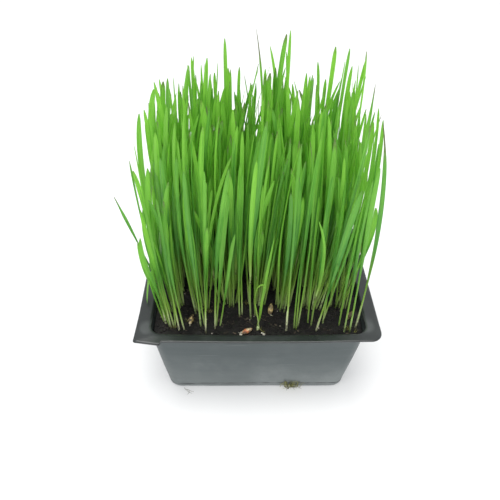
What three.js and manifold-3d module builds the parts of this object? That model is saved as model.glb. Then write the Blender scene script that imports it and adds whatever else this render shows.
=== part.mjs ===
// Wheatgrass growing in a small plastic tray: the thin tray with its flat rim, the soil that fills it,
// kernels lying on the soil, and the grass. The grass stands in clumps, each grown together at the foot in a
// small root ball that sits in its own hole in the soil. Millimetres, +Z up. The origin is the middle of the
// tray's flat base, and the front faces -Y.

import * as THREE from "three";
import { mergeVertices } from "three/addons/utils/BufferGeometryUtils.js";
import Module from "manifold-3d";

// The tray. Its half sizes are those of the opening, at the inner edge of the rim.
const TRAY_HEIGHT = 60;
const OPENING_HALF_X = 67.8;
const OPENING_HALF_Y = 57;
const OPENING_CORNER = 7;
const SHEET = 0.9; // thickness of the plastic
const WALL_TAPER = 7.5; // how far each wall leans in from rim to base
const FOOT_RADIUS = 2; // rounding between the walls and the base
const RIM_ROUND = 1.6; // rounding from the rim down into the tray
const FRONT_BULGE = 1.1; // the wet soil pushes the front wall out by this at the rim
const RIM_WIDTH = 7.2; // flat rim at the sides, the back and the front left corner
const FRONT_RIM_WIDTH = 4.8; // the front edge is trimmed narrower
const NOTCH_X = -59.5; // where the trimmed edge steps back from the full corner
const NOTCH_RUN = 0.8;
const RIM_CORNERS = { frontLeft: 1.8, frontRight: 7, backRight: 6, backLeft: 6 };
const DROOP = { x: -75, y: -64.2, depth: 1.9, reach: 22 }; // the front left corner sags
const LEAST_CORNER = 1.2; // radius of the wall's upright corners where the foot has drawn them in
const CORNER_STEPS = 5;
const ARC_STEPS = 3;
const FRONT_STATIONS = [-0.66, -0.33, 0, 0.33, 0.66]; // shares of the straight part of the front

// The soil
const SOIL_TOP = 55;
const SOIL_GAP = 0.4; // between the soil and the tray
const SOIL_LUMP = 1.1;
const SOIL_CELLS_X = 10;
const SOIL_CELLS_Y = 8;
const BLOCK_OVER = 3; // the block that gives the soil its lumpy top reaches this far past the opening
const BLOCK_FLOOR = -1;

// Seeds of the random draws
const SEEDS = { clumps: 5, soil: 11, shoots: 1000, leaves: 5000 };

// The clumps of grass. Those of the front row stand apart, and each of their shoots has its own foot, top
// and way of leaning. Those of the second row stand unevenly, behind a bare patch in the middle.
const FRONT_ROW = [
  {
    x: -54,
    y: -46.5,
    shoots: [
      { foot: [-58.5, -43.5], top: 180, lean: [-3, 1], bend: [-2, 1], width: 3.4 },
      { foot: [-54, -47.5], top: 169, lean: [-6, 1], bend: [-2, 0], width: 3.8 },
      { foot: [-48.8, -48.6], top: 153, lean: [-5, 1], bend: [-1, 0], width: 3.2 },
    ],
  },
  {
    x: -31,
    y: -47.5,
    shoots: [
      { foot: [-36, -45.5], top: 166, lean: [-3, 2], bend: [-1, 1], width: 3.6 },
      { foot: [-33, -51], top: 170, lean: [2, 1], bend: [1.5, 1], width: 3, facing: 0.3 },
      { foot: [-27.6, -48], top: 170, lean: [3, 0], bend: [7, 1], width: 4.2, facing: 0 },
      { foot: [-27.2, -45.2], top: 152, lean: [6, 2], bend: [3, 1], width: 4, facing: 0.4 },
    ],
  },
  {
    x: -8.5,
    y: -38.5,
    shoots: [
      { foot: [-12, -37.5], top: 168, lean: [-2, 0], bend: [3, 0], width: 3.4 },
      { foot: [-4.4, -39.5], top: 191, lean: [-4, 1], bend: [11, 1], width: 4.7, facing: 0, twist: 0.2 },
    ],
  },
  {
    x: 20.5,
    y: -47.5,
    shoots: [
      { foot: [17.6, -49], top: 185, lean: [-1, 1], bend: [-1.5, 1], width: 3.4 },
      { foot: [23.4, -49], top: 188, lean: [-1, 2], bend: [3, 1], width: 4.4, facing: 0 },
      { foot: [24.6, -45.6], top: 183, lean: [4, 2], bend: [-7, 1], width: 2.5 },
    ],
  },
  {
    x: 38,
    y: -46.5,
    shoots: [
      { foot: [33, -45.2], top: 164, lean: [1, 1], bend: [1, 0], width: 3.3 },
      { foot: [35, -50], top: 160, lean: [8, -1], bend: [5, 1], width: 4.7, facing: 0.1, twist: 0 },
      { foot: [41, -43], top: 158, lean: [1, 2], bend: [1, 1], width: 3.4 },
    ],
  },
  {
    x: 55,
    y: -47.5,
    shoots: [
      { foot: [51.2, -44.6], top: 152, lean: [0, 1], bend: [1, 0], width: 4 },
      { foot: [53.4, -50], top: 166, lean: [-1, 0], bend: [1, 1], width: 3 },
      { foot: [57, -50.4], top: 172, lean: [3, 1], bend: [-2, 1], width: 3.6 },
      { foot: [60.8, -47.3], top: 195, lean: [4, 0], bend: [-10.5, 2], width: 2.6 },
    ],
  },
];
const SECOND_ROW = [
  [-54.5, -30], [-36.5, -31], [-20, -26], [-1.5, -25.5], [17, -29], [35.5, -30], [54.5, -30.5],
];
const SECOND_ROW_SHOOTS = 5;
const ROWS = [
  { y: -11.6, half: 54.6 },
  { y: 3, half: 53.4 },
  { y: 17.6, half: 54.6 },
  { y: 32.2, half: 53.4 },
  { y: 46.6, half: 54 },
];
const CLUMPS_PER_ROW = 7;
const ROW_SHOOTS = 7; // in each of their clumps
const CLUMP_JITTER = 0.7;
const CLUMP_TURN = 0.1; // radians
const BALL = { halfX: 6.7, halfY: 4.6, depth: 10, sunk: 2.2 }; // the root ball, six-sided
const HOLE = { halfX: 7.9, halfY: 6.1, below: 0.4 }; // the soil has opened a little round it
const SHOOT_REACH = [5.2, 3.2]; // the outermost shoots of a clump stand this far from its middle
const GOLDEN_ANGLE = 2.4;

// A blade: heights are above the soil
const SHOOT_HEIGHT = 121;
const SHOOT_SPREAD = 22;
const ROOT_IN = 4; // how far a shoot runs down into the root ball
const STEM_WIDTH = 1.3;
const BLADE_WIDTH = 3.7;
const BLADE_SPREAD = 0.8;
const BLADE_THICK = 1.1;
const OPENING_SHARE = 0.4; // share of its length over which a stem opens into the blade
const TAPER_FROM = 0.6; // from here on a blade draws in to its tip
const TAPER_POWER = 4;
const LEAN_POWER = 1.7; // a shoot leans mostly low down
const BEND_POWER = 3; // and bends mostly near the tip
const STEM_END = 0.24; // share of its length at which a shoot's stem starts to open
const STATIONS = [0, 0.3, 0.6, 0.93, 1]; // rings of a first leaf, as shares of its length
const LEAF_STATIONS = [0, 0.2, 0.86, 1]; // rings of a second leaf
const FAN = 2; // how far a shoot leans away from its clump's middle
const SWAY = 8; // and at random
const OUTWARD = 0.12; // share of its distance from the tray's middle by which it also leans out
const INWARD = 0.09; // and by which its tip then bends back in
const BEND = 15; // most that a tip bends over towards its keel
const TWIST = 0.8; // radians from root to tip
const LEAF_SHARE = 0.42; // share of the shoots that carry a second leaf
const LEAF_START = 0.24; // where it leaves the stem, as a share of the first leaf's length
const LEAF_START_SPREAD = 0.05;
const LEAF_LENGTH = 0.72; // height of its tip, as a share of the first leaf's
const LEAF_LENGTH_SPREAD = 0.16;
const LEAF_LEAN = 6;
const LEAF_TURN = 0.4; // radians
const LEAF_WIDTH = [0.75, 0.95]; // as shares of the first leaf's
const LEAF_INTO = 0.5; // how far its foot lies inside the stem
const TRIES = 60;
const INSIDE = 0.85; // share of the hole that the shoots keep to
const RIM_CLEAR = 0.5; // between a blade and the rounding that runs down from the rim
const RIM_X = OPENING_HALF_X - RIM_ROUND - RIM_CLEAR;
const RIM_Y = OPENING_HALF_Y - RIM_ROUND - RIM_CLEAR;
const SPREAD_X = 65.5; // the grass, apart from the chosen shoots, spreads no further than this
const SPREAD_Y = 62;
const TEST_STEP = 2.5; // height between the levels at which blades are kept apart
const TEST_FROM = 56;
const TEST_LEVELS = 62;
const MIDPLANE = 0.4; // the line along a section's middle lies this share of the way to its keel
const CLEAR = 1.6; // least distance there between blades of two clumps
const CLEAR_WITHIN = 1.35; // and within a clump
const LEAF_FREE = 25; // a second leaf may touch its own stem up to this far above its foot

// Shoots further back that stand out from the rest, each in the clump with that number
const STRAYS = [
  { clump: 6, shoot: 1, top: 143, lean: [-15, -2], bend: [-7, -1], width: 3.2 },
  { clump: 12, shoot: 2, top: 140, lean: [8, -2], bend: [4, -1], width: 4.2 },
  { clump: 13, shoot: 3, top: 184, lean: [-5, -2], bend: [-5, -1], width: 3.8, facing: 0.2 },
  { clump: 13, shoot: 1, top: 176, lean: [-5, 1], bend: [-3, 1], width: 3 },
  { clump: 19, shoot: 4, top: 184, lean: [4, 1], bend: [3, 1], width: 2.6 },
  { clump: 34, shoot: 2, top: 176, lean: [-6, 0], bend: [-1, 1], width: 3.6, facing: 0 },
  { clump: 40, shoot: 3, top: 186, lean: [5, 0], bend: [6, 0], width: 3, facing: 0.3 },
  { clump: 41, shoot: 2, top: 180, lean: [-5, 0], bend: [-2, 0], width: 4, facing: 0 },
  { clump: 42, shoot: 1, top: 186, lean: [-3, 1], bend: [-1, 1], width: 3.8, facing: 0 },
  { clump: 43, shoot: 4, top: 200, lean: [1, 2], bend: [-2, 1], width: 4, facing: 0.2 },
  { clump: 44, shoot: 2, top: 206, lean: [2, 3], bend: [-9, 3], width: 2.4, facing: 0.2 },
  { clump: 45, shoot: 3, top: 203, lean: [-5, 2], bend: [-1, 0], width: 4, facing: 0 },
  { clump: 45, shoot: 1, top: 206, lean: [1, 3], bend: [1, 1], width: 4, facing: 0 },
  { clump: 46, shoot: 2, top: 197, lean: [4, 2], bend: [3, 0], width: 4, facing: 0 },
  { clump: 47, shoot: 5, top: 196, lean: [2, 1], bend: [2, 0], width: 3.8, facing: 0 },
  { clump: 47, shoot: 1, top: 190, lean: [5, 1], bend: [3, 0], width: 3.6, facing: 0.2 },
];

// A young plant in the bare patch at the front: one leaf curls over, and one stands up
const SEEDLING = {
  x: -0.5,
  y: -48.8,
  turn: 0,
  ball: { halfX: 2.2, halfY: 2.2, depth: 7 },
  hole: { halfX: 3.2, halfY: 3.2 },
  leaves: [
    {
      way: [
        [0, 0, 48], [0, 0, 57], [-0.6, -0.2, 70], [-2.5, -0.5, 82],
        [-1.6, -1, 92], [1.6, -1.4, 95.5], [4, -1.6, 91],
      ],
      across: [0, 1, 0],
      width: 1.9,
      rings: 12,
    },
    {
      way: [[0.3, 0.3, 48], [0.6, 0.3, 60], [1.6, 0.2, 82], [4.1, 0, 106], [6.8, -0.6, 131]],
      across: [1, 0, 0],
      width: 3.1,
      rings: 5,
    },
  ],
};

// Kernels that lie bare on the soil
const KERNEL = { halfLength: 3.6, halfWidth: 1.7, sides: 8, rings: 4 };
const KERNEL_GAP = 0.35; // round it, where it lies in the soil
const KERNEL_LIFT = 0.9; // its middle above the soil's mean surface
const KERNEL_BED = 0.7; // share of a tilted kernel's rise that stands out of the soil
const KERNELS = [
  { x: -7.4, y: -50.5, turn: 0.5, tilt: 0.1 },
  { x: 8, y: -33.5, turn: 1.3, tilt: 0.95 },
  { x: -42.6, y: -41, turn: 1.3, tilt: 0.25 },
  { x: 58.5, y: -38.9, turn: 0.2, tilt: 0.95 },
];

const PLASTIC = new THREE.MeshStandardMaterial({ color: 0x4a4f51, roughness: 0.45, metalness: 0 });
const SOIL = new THREE.MeshStandardMaterial({ color: 0x2a2320, roughness: 1, metalness: 0 });
const GRASS = new THREE.MeshStandardMaterial({ color: 0x5aa12f, roughness: 0.5, metalness: 0 });
const GRAIN = new THREE.MeshStandardMaterial({ color: 0xc9a86a, roughness: 0.7, metalness: 0 });

const wasm = await Module();
wasm.setup();

const BALL_TOP = SOIL_TOP - BALL.sunk;

// ---- helpers ----

// mulberry32, a small random number generator that gives the same draws on every run
function seeded(seed) {
  let state = seed >>> 0;
  return () => {
    state = (state + 0x6d2b79f5) >>> 0;
    let t = Math.imul(state ^ (state >>> 15), 1 | state);
    t = (t + Math.imul(t ^ (t >>> 7), 61 | t)) ^ t;
    return ((t ^ (t >>> 14)) >>> 0) / 4294967296;
  };
}

function geometryOf(points, triangles) {
  const geometry = new THREE.BufferGeometry();
  geometry.setAttribute("position", new THREE.Float32BufferAttribute(points.flat(), 3));
  geometry.setIndex(triangles.flat());
  return geometry;
}

function solidOf(geometry) {
  const bare = geometry.clone();
  bare.deleteAttribute("normal");
  bare.deleteAttribute("uv");
  const merged = mergeVertices(bare, 1e-5);
  const mesh = new wasm.Mesh({
    numProp: 3,
    vertProperties: new Float32Array(merged.attributes.position.array),
    triVerts: new Uint32Array(merged.index.array),
  });
  return new wasm.Manifold(mesh);
}

function geometryFrom(solid) {
  const mesh = solid.getMesh();
  const geometry = new THREE.BufferGeometry();
  geometry.setAttribute("position", new THREE.Float32BufferAttribute(mesh.vertProperties, 3));
  geometry.setIndex(new THREE.Uint32BufferAttribute(mesh.triVerts, 1));
  return geometry;
}

function partOf(name, geometry, material) {
  const shaded = geometry.clone();
  shaded.computeVertexNormals();
  const mesh = new THREE.Mesh(shaded, material);
  mesh.name = name;
  return mesh;
}

// A closed solid through rings of points, counter-clockwise seen from above, from the lowest ring on
function loft(rings) {
  const count = rings[0].length;
  const triangles = [];
  for (let ring = 0; ring < rings.length - 1; ring += 1) {
    for (let i = 0; i < count; i += 1) {
      const next = (i + 1) % count;
      const [a, b] = [ring * count + i, ring * count + next];
      triangles.push([a, b, b + count], [a, b + count, a + count]);
    }
  }
  const middle = (ring) => [0, 1, 2].map((axis) => ring.reduce((sum, p) => sum + p[axis], 0) / count);
  const points = [...rings.flat(), middle(rings[0]), middle(rings.at(-1))];
  const top = (rings.length - 1) * count;
  for (let i = 0; i < count; i += 1) {
    const next = (i + 1) % count;
    triangles.push([next, i, points.length - 2], [top + i, top + next, points.length - 1]);
  }
  return geometryOf(points, triangles);
}

// ---- the tray ----

const STRAIGHT = OPENING_HALF_X - OPENING_CORNER;
const FRONT_SHARES = [NOTCH_X - NOTCH_RUN / 2, NOTCH_X + NOTCH_RUN / 2]
  .map((x) => x / STRAIGHT)
  .concat(FRONT_STATIONS);

const bulge = (share, z) => (FRONT_BULGE * (1 - share * share) * z) / TRAY_HEIGHT;

// A ring round the tray: the points of its front edge, then each corner's arc and each side's middle
function ring(z, front, corners) {
  const points = [...front];
  corners.forEach(({ x, y, radius }, corner) => {
    for (let step = 0; step <= CORNER_STEPS; step += 1) {
      const angle = (Math.PI / 2) * (corner - 1 + step / CORNER_STEPS);
      points.push([x + radius * Math.cos(angle), y + radius * Math.sin(angle), z]);
    }
    const after = corners[corner + 1];
    if (corner === 0 || corner === 2) {
      points.push([x + (corner === 0 ? radius : -radius), 0, z]);
    } else if (after) {
      points.push([0, y + radius, z]);
    }
  });
  return points;
}

// The wall's ring that lies `offset` outside the opening's edge
function wallRing(offset, z) {
  const radius = Math.max(LEAST_CORNER, OPENING_CORNER + Math.min(0, offset + WALL_TAPER));
  const x = OPENING_HALF_X + offset - radius;
  const y = OPENING_HALF_Y + offset - radius;
  const front = FRONT_SHARES.map((share) => [share * x, -y - radius - bulge(share, z), z]);
  const places = [[x, -y], [x, y], [-x, y], [-x, -y]];
  return ring(z, front, places.map(([cx, cy]) => ({ x: cx, y: cy, radius })));
}

// The rim's outer edge, trimmed narrower along the front and sagging at the front left corner
function rimRing(z) {
  const x = OPENING_HALF_X + RIM_WIDTH;
  const back = OPENING_HALF_Y + RIM_WIDTH;
  const front = OPENING_HALF_Y + FRONT_RIM_WIDTH;
  const { frontLeft, frontRight, backRight, backLeft } = RIM_CORNERS;
  const corners = [
    { x: x - frontRight, y: -front + frontRight, radius: frontRight },
    { x: x - backRight, y: back - backRight, radius: backRight },
    { x: -x + backLeft, y: back - backLeft, radius: backLeft },
    { x: -x + frontLeft, y: -back + frontLeft, radius: frontLeft },
  ];
  const edge = FRONT_SHARES.map((share) => {
    const reach = share * STRAIGHT < NOTCH_X ? back : front;
    return [share * STRAIGHT, -reach - bulge(share, TRAY_HEIGHT), z];
  });
  return ring(z, edge, corners).map(([px, py, pz]) => {
    const near = Math.max(0, 1 - Math.hypot(px - DROOP.x, py - DROOP.y) / DROOP.reach);
    return [px, py, pz - DROOP.depth * near];
  });
}

// Section of the sheet, `inward` from its outer face: [offset, z] up the foot's arc and over the rim's
const WALL_ANGLE = Math.atan((WALL_TAPER - RIM_ROUND + SHEET) / (TRAY_HEIGHT - RIM_ROUND));
function wallOffset(z, inward) {
  const across = (RIM_ROUND - SHEET + inward) / Math.cos(WALL_ANGLE);
  return -across - (TRAY_HEIGHT - RIM_ROUND - z) * Math.tan(WALL_ANGLE);
}
function arcPoints([x, z], radius, from, to) {
  return Array.from({ length: ARC_STEPS + 1 }, (_, step) => {
    const angle = from + ((to - from) * step) / ARC_STEPS;
    return [x + radius * Math.cos(angle), z + radius * Math.sin(angle)];
  });
}
function footArc(inward) {
  const middle = [wallOffset(FOOT_RADIUS, 0) - FOOT_RADIUS / Math.cos(WALL_ANGLE), FOOT_RADIUS];
  return arcPoints(middle, FOOT_RADIUS - inward, -Math.PI / 2, -WALL_ANGLE);
}
function rimArc(inward) {
  const middle = [0, TRAY_HEIGHT - RIM_ROUND];
  return arcPoints(middle, RIM_ROUND - SHEET + inward, Math.PI - WALL_ANGLE, Math.PI / 2);
}

function tray() {
  const rings = (profile) => profile.map(([offset, z]) => wallRing(offset, z));
  const outside = rings([...footArc(0), ...rimArc(0)]);
  const inside = rings([...footArc(SHEET), ...rimArc(SHEET)]).reverse();
  return loft([...outside, rimRing(TRAY_HEIGHT - SHEET), rimRing(TRAY_HEIGHT), ...inside]);
}

// ---- the soil ----

// A block with a lumpy top, wider than the tray
function lumpyBlock() {
  const rand = seeded(SEEDS.soil);
  const halfX = OPENING_HALF_X + BLOCK_OVER;
  const halfY = OPENING_HALF_Y + BLOCK_OVER;
  const row = SOIL_CELLS_X + 1;
  const level = (z) => {
    const points = [];
    for (let j = 0; j <= SOIL_CELLS_Y; j += 1) {
      for (let i = 0; i < row; i += 1) {
        const x = halfX * ((2 * i) / SOIL_CELLS_X - 1);
        const y = halfY * ((2 * j) / SOIL_CELLS_Y - 1);
        points.push([x, y, z()]);
      }
    }
    return points;
  };
  const points = [...level(() => SOIL_TOP + SOIL_LUMP * (2 * rand() - 1)), ...level(() => BLOCK_FLOOR)];
  const below = points.length / 2;
  const triangles = [];
  for (let j = 0; j < SOIL_CELLS_Y; j += 1) {
    for (let i = 0; i < SOIL_CELLS_X; i += 1) {
      const a = j * row + i;
      const [b, c, d] = [a + 1, a + row + 1, a + row];
      triangles.push([a, b, c], [a, c, d]);
      triangles.push([b + below, a + below, c + below], [c + below, a + below, d + below]);
    }
  }
  const wall = (a, b) => triangles.push([a, a + below, b + below], [a, b + below, b]);
  for (let i = 0; i < SOIL_CELLS_X; i += 1) {
    const back = SOIL_CELLS_Y * row + i;
    wall(i, i + 1);
    wall(back + 1, back);
  }
  for (let j = 0; j < SOIL_CELLS_Y; j += 1) {
    const right = j * row + SOIL_CELLS_X;
    wall((j + 1) * row, j * row);
    wall(right, right + row);
  }
  return solidOf(geometryOf(points, triangles));
}

// An upright prism in a clump's middle: its root ball, or the hole for it
function prismAt(clump, { halfX, halfY }, bottom, top) {
  const prism = new THREE.CylinderGeometry(1, 1, top - bottom, 6);
  prism.rotateX(Math.PI / 2).rotateZ(Math.PI / 2).scale(halfX, halfY, 1).rotateZ(clump.turn);
  return prism.translate(clump.x, clump.y, (top + bottom) / 2);
}

function kernelShape(gap) {
  const { halfLength, halfWidth, sides, rings } = KERNEL;
  const shape = new THREE.SphereGeometry(1, sides, rings);
  return shape.rotateZ(Math.PI / 2).scale(halfLength + gap, halfWidth + gap, halfWidth + gap);
}

function kernelAt({ x, y, turn, tilt }, gap) {
  const shape = kernelShape(gap).rotateY(-tilt).rotateZ(turn);
  const lift = KERNEL.halfLength * Math.sin(tilt) * KERNEL_BED;
  return shape.translate(x, y, SOIL_TOP + KERNEL_LIFT + lift);
}

function soil(clumps) {
  const inward = SHEET + SOIL_GAP;
  const top = SOIL_TOP + 2 * SOIL_LUMP;
  const profile = [...footArc(inward), [wallOffset(top, inward), top]];
  const filling = solidOf(loft(profile.map(([offset, z]) => wallRing(offset, z))));
  const above = SOIL_TOP + 3 * SOIL_LUMP;
  const floor = BALL_TOP - BALL.depth - HOLE.below;
  const holes = clumps.map((clump) => solidOf(prismAt(clump, HOLE, floor, above)));
  holes.push(solidOf(prismAt(SEEDLING, SEEDLING.hole, floor + HOLE.below, above)));
  const dents = KERNELS.map((kernel) => solidOf(kernelAt(kernel, KERNEL_GAP)));
  const ground = filling.intersect(lumpyBlock());
  return geometryFrom([...holes, ...dents].reduce((rest, cut) => rest.subtract(cut), ground));
}

// ---- the grass ----

// A blade is a row of three-sided rings, each with a left and a right edge and a keel, and a tip
function bladeGeometry(rings, tip) {
  const points = [...rings.flat(), tip];
  const triangles = [[2, 1, 0]];
  for (let ring = 0; ring < rings.length - 1; ring += 1) {
    for (let side = 0; side < 3; side += 1) {
      const a = 3 * ring + side;
      const b = 3 * ring + ((side + 1) % 3);
      triangles.push([a, b, b + 3], [a, b + 3, a + 3]);
    }
  }
  const last = points.length - 4;
  for (let side = 0; side < 3; side += 1) {
    triangles.push([last + side, last + ((side + 1) % 3), points.length - 1]);
  }
  return geometryOf(points, triangles);
}

// Width of a blade at a share of its length: a thin stem, then broad, then drawn to a point
function widthAt(share, width, stemEnd) {
  const open = Math.min(1, Math.max(0, (share - stemEnd) / OPENING_SHARE));
  const broad = STEM_WIDTH + (width - STEM_WIDTH) * open * open * (3 - 2 * open);
  const taper = Math.max(0, (share - TAPER_FROM) / (1 - TAPER_FROM));
  return broad * (1 - taper ** TAPER_POWER);
}

// The blade's middle line leans over low down and bends over towards the tip
function middleAt(blade, share) {
  const lean = 1 - (1 - share) ** LEAN_POWER;
  const bend = share ** BEND_POWER;
  return [
    blade.root[0] + blade.lean[0] * lean + blade.bend[0] * bend,
    blade.root[1] + blade.lean[1] * lean + blade.bend[1] * bend,
    blade.root[2] + (blade.top - blade.root[2]) * share,
  ];
}

function ringAt(blade, share) {
  const [x, y, z] = middleAt(blade, share);
  const half = widthAt(share, blade.width, blade.stemEnd) / 2;
  const angle = blade.facing + blade.twist * share;
  const [c, s] = [Math.cos(angle), Math.sin(angle)];
  return [
    [x - half * c, y - half * s, z],
    [x + half * c, y + half * s, z],
    [x - BLADE_THICK * s, y + BLADE_THICK * c, z],
  ];
}

// The rings of a blade, and its section at each test level as the two ends of a line along its middle
function shape(blade) {
  const rings = blade.stations.slice(0, -1).map((share) => ringAt(blade, share));
  const tip = middleAt(blade, 1);
  const levels = [];
  const all = [...rings, [tip, tip, tip]];
  for (let level = 0; level < TEST_LEVELS; level += 1) {
    const z = TEST_FROM + level * TEST_STEP;
    const above = all.findIndex((edge) => edge[0][2] > z);
    if (above < 1) {
      levels.push(null);
      continue;
    }
    const [low, high] = [all[above - 1], all[above]];
    const t = (z - low[0][2]) / (high[0][2] - low[0][2]);
    const at = (corner, axis) => low[corner][axis] + (high[corner][axis] - low[corner][axis]) * t;
    const shift = [0, 1].map((axis) => MIDPLANE * (at(2, axis) - (at(0, axis) + at(1, axis)) / 2));
    levels.push([at(0, 0) + shift[0], at(0, 1) + shift[1], at(1, 0) + shift[0], at(1, 1) + shift[1]]);
  }
  return { ...blade, rings, tip, levels };
}

function pointGap(px, py, [ax, ay, bx, by]) {
  const [dx, dy] = [bx - ax, by - ay];
  const along = ((px - ax) * dx + (py - ay) * dy) / Math.max(1e-9, dx * dx + dy * dy);
  const t = Math.min(1, Math.max(0, along));
  return Math.hypot(px - ax - t * dx, py - ay - t * dy);
}

const leftOf = (px, py, [ax, ay, bx, by]) => (bx - ax) * (py - ay) - (by - ay) * (px - ax);

function lineGap(a, b) {
  const parts = (line, other) => (
    leftOf(line[0], line[1], other) * leftOf(line[2], line[3], other) < 0
  );
  if (parts(a, b) && parts(b, a)) {
    return 0;
  }
  const endGap = (line, other) => (
    Math.min(pointGap(line[0], line[1], other), pointGap(line[2], line[3], other))
  );
  return Math.min(endGap(a, b), endGap(b, a));
}

// A blade stays inside its hole at the soil's surface, inside the opening at the rim, and over the tray above
function isInside({ rings, tip, hole, chosen }) {
  const within = ([x, y], halfX, halfY) => Math.abs(x) < halfX && Math.abs(y) < halfY;
  const edgeAt = (z) => rings[0].map((corner, index) => {
    const share = (z - corner[2]) / (rings[1][index][2] - corner[2]);
    return [0, 1].map((axis) => corner[axis] + (rings[1][index][axis] - corner[axis]) * share);
  });
  const inHole = ([x, y]) => (
    ((x - hole.x) / (INSIDE * HOLE.halfX)) ** 2 + ((y - hole.y) / (INSIDE * HOLE.halfY)) ** 2 < 1
  );
  return (
    (!hole || edgeAt(SOIL_TOP + SOIL_LUMP).every(inHole)) &&
    (!hole || edgeAt(TRAY_HEIGHT + RIM_ROUND).every((at) => within(at, RIM_X, RIM_Y))) &&
    (chosen || [...rings.flat(), tip].every((at) => within(at, SPREAD_X, SPREAD_Y)))
  );
}

function isClear(blade, placed) {
  return placed.every((other) => {
    const least = other.clump === blade.clump ? CLEAR_WITHIN : CLEAR;
    const from = other === blade.parent ? blade.clearFrom : 0;
    return blade.levels.every((line, level) => {
      const near = other.levels[level];
      return level < from || !line || !near || lineGap(line, near) > least;
    });
  });
}

function clumpPlaces() {
  const rand = seeded(SEEDS.clumps);
  const jitter = () => CLUMP_JITTER * (2 * rand() - 1);
  const places = FRONT_ROW.map(({ x, y, shoots }) => ({ x, y, chosen: shoots, count: shoots.length }));
  for (const [x, y] of SECOND_ROW) {
    places.push({ x, y, count: SECOND_ROW_SHOOTS });
  }
  for (const { y, half } of ROWS) {
    for (let i = 0; i < CLUMPS_PER_ROW; i += 1) {
      const x = half * ((2 * i) / (CLUMPS_PER_ROW - 1) - 1);
      places.push({ x: x + jitter(), y: y + jitter(), count: ROW_SHOOTS });
    }
  }
  return places.map((place) => ({ ...place, turn: CLUMP_TURN * (2 * rand() - 1) }));
}

function drawShoot(rand, clump, number, index) {
  const reach = Math.sqrt((index + 0.5) / clump.count);
  const around = number + index * GOLDEN_ANGLE;
  const away = [reach * Math.cos(around), reach * Math.sin(around)];
  const foot = [clump.x + away[0] * SHOOT_REACH[0], clump.y + away[1] * SHOOT_REACH[1]];
  const height = SHOOT_HEIGHT + SHOOT_SPREAD * (rand() + rand() - 1);
  const facing = 2 * Math.PI * rand();
  const twist = TWIST * (2 * rand() - 1);
  const width = BLADE_WIDTH + BLADE_SPREAD * (2 * rand() - 1);
  const over = BEND * rand() ** 2;
  const lean = [0, 1].map((axis) => (
    FAN * away[axis] + OUTWARD * foot[axis] + SWAY * (2 * rand() - 1)
  ));
  const bend = [
    -over * Math.sin(facing + twist) - INWARD * foot[0],
    over * Math.cos(facing + twist) - INWARD * foot[1],
  ];
  const top = SOIL_TOP + height;
  const blade = { foot, top, lean, bend, facing, twist, width, stemEnd: STEM_END };
  return { ...blade, stations: STATIONS, clump: number, hole: clump };
}

// A second leaf leaves its shoot's stem on the side away from the first leaf's keel
function drawLeaf(rand, shoot) {
  const start = LEAF_START + LEAF_START_SPREAD * (2 * rand() - 1);
  const foot = middleAt(shoot, start);
  const stem = shoot.facing + shoot.twist * start;
  const [outX, outY] = [Math.sin(stem), -Math.cos(stem)];
  const length = LEAF_LENGTH + LEAF_LENGTH_SPREAD * (2 * rand() - 1);
  const facing = stem + Math.PI + LEAF_TURN * (2 * rand() - 1);
  const twist = TWIST * (2 * rand() - 1);
  const leanBy = LEAF_LEAN * (0.5 + rand());
  const over = BEND * rand() ** 2;
  return {
    parent: shoot,
    clump: shoot.clump,
    clearFrom: Math.ceil((foot[2] + LEAF_FREE - TEST_FROM) / TEST_STEP),
    root: [foot[0] - LEAF_INTO * outX, foot[1] - LEAF_INTO * outY, foot[2]],
    top: foot[2] + (shoot.top - foot[2]) * length,
    lean: [outX * leanBy + OUTWARD * foot[0], outY * leanBy + OUTWARD * foot[1]],
    bend: [outX * over - INWARD * foot[0], outY * over - INWARD * foot[1]],
    facing,
    twist,
    width: shoot.width * (LEAF_WIDTH[0] + (LEAF_WIDTH[1] - LEAF_WIDTH[0]) * rand()),
    stemEnd: 0,
    stations: LEAF_STATIONS,
  };
}

// Shoots go in one by one, the chosen ones first, each drawn again until it stands clear of those before it
function growGrass(clumps) {
  const placed = [];
  const settle = (draw) => {
    for (let attempt = 0; attempt < TRIES; attempt += 1) {
      const blade = shape(draw());
      if (isInside(blade) && isClear(blade, placed)) {
        placed.push(blade);
        return blade;
      }
    }
    return null;
  };
  const chosenFor = (number, index) => (
    clumps[number].chosen?.[index] ??
    STRAYS.find(({ clump, shoot }) => clump === number && shoot === index)
  );
  const grow = (number, index) => {
    const rand = seeded(SEEDS.shoots + number * ROW_SHOOTS + index);
    const chosen = chosenFor(number, index);
    settle(() => {
      const shoot = { ...drawShoot(rand, clumps[number], number, index), ...chosen, clump: number };
      return { ...shoot, root: [...shoot.foot, BALL_TOP - ROOT_IN], chosen };
    });
  };
  for (const first of [true, false]) {
    clumps.forEach(({ count }, number) => {
      for (let index = 0; index < count; index += 1) {
        if (Boolean(chosenFor(number, index)) === first) {
          grow(number, index);
        }
      }
    });
  }
  placed.slice().forEach((shoot, index) => {
    const rand = seeded(SEEDS.leaves + index);
    if (rand() < LEAF_SHARE) {
      settle(() => drawLeaf(rand, shoot));
    }
  });
  return placed;
}

function clumpGeometry(clump, number, blades) {
  const ball = solidOf(prismAt(clump, BALL, BALL_TOP - BALL.depth, BALL_TOP));
  const own = blades.filter((blade) => blade.clump === number);
  const solids = own.map((blade) => solidOf(bladeGeometry(blade.rings, blade.tip)));
  return geometryFrom(solids.reduce((joined, blade) => joined.add(blade), ball));
}

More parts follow.
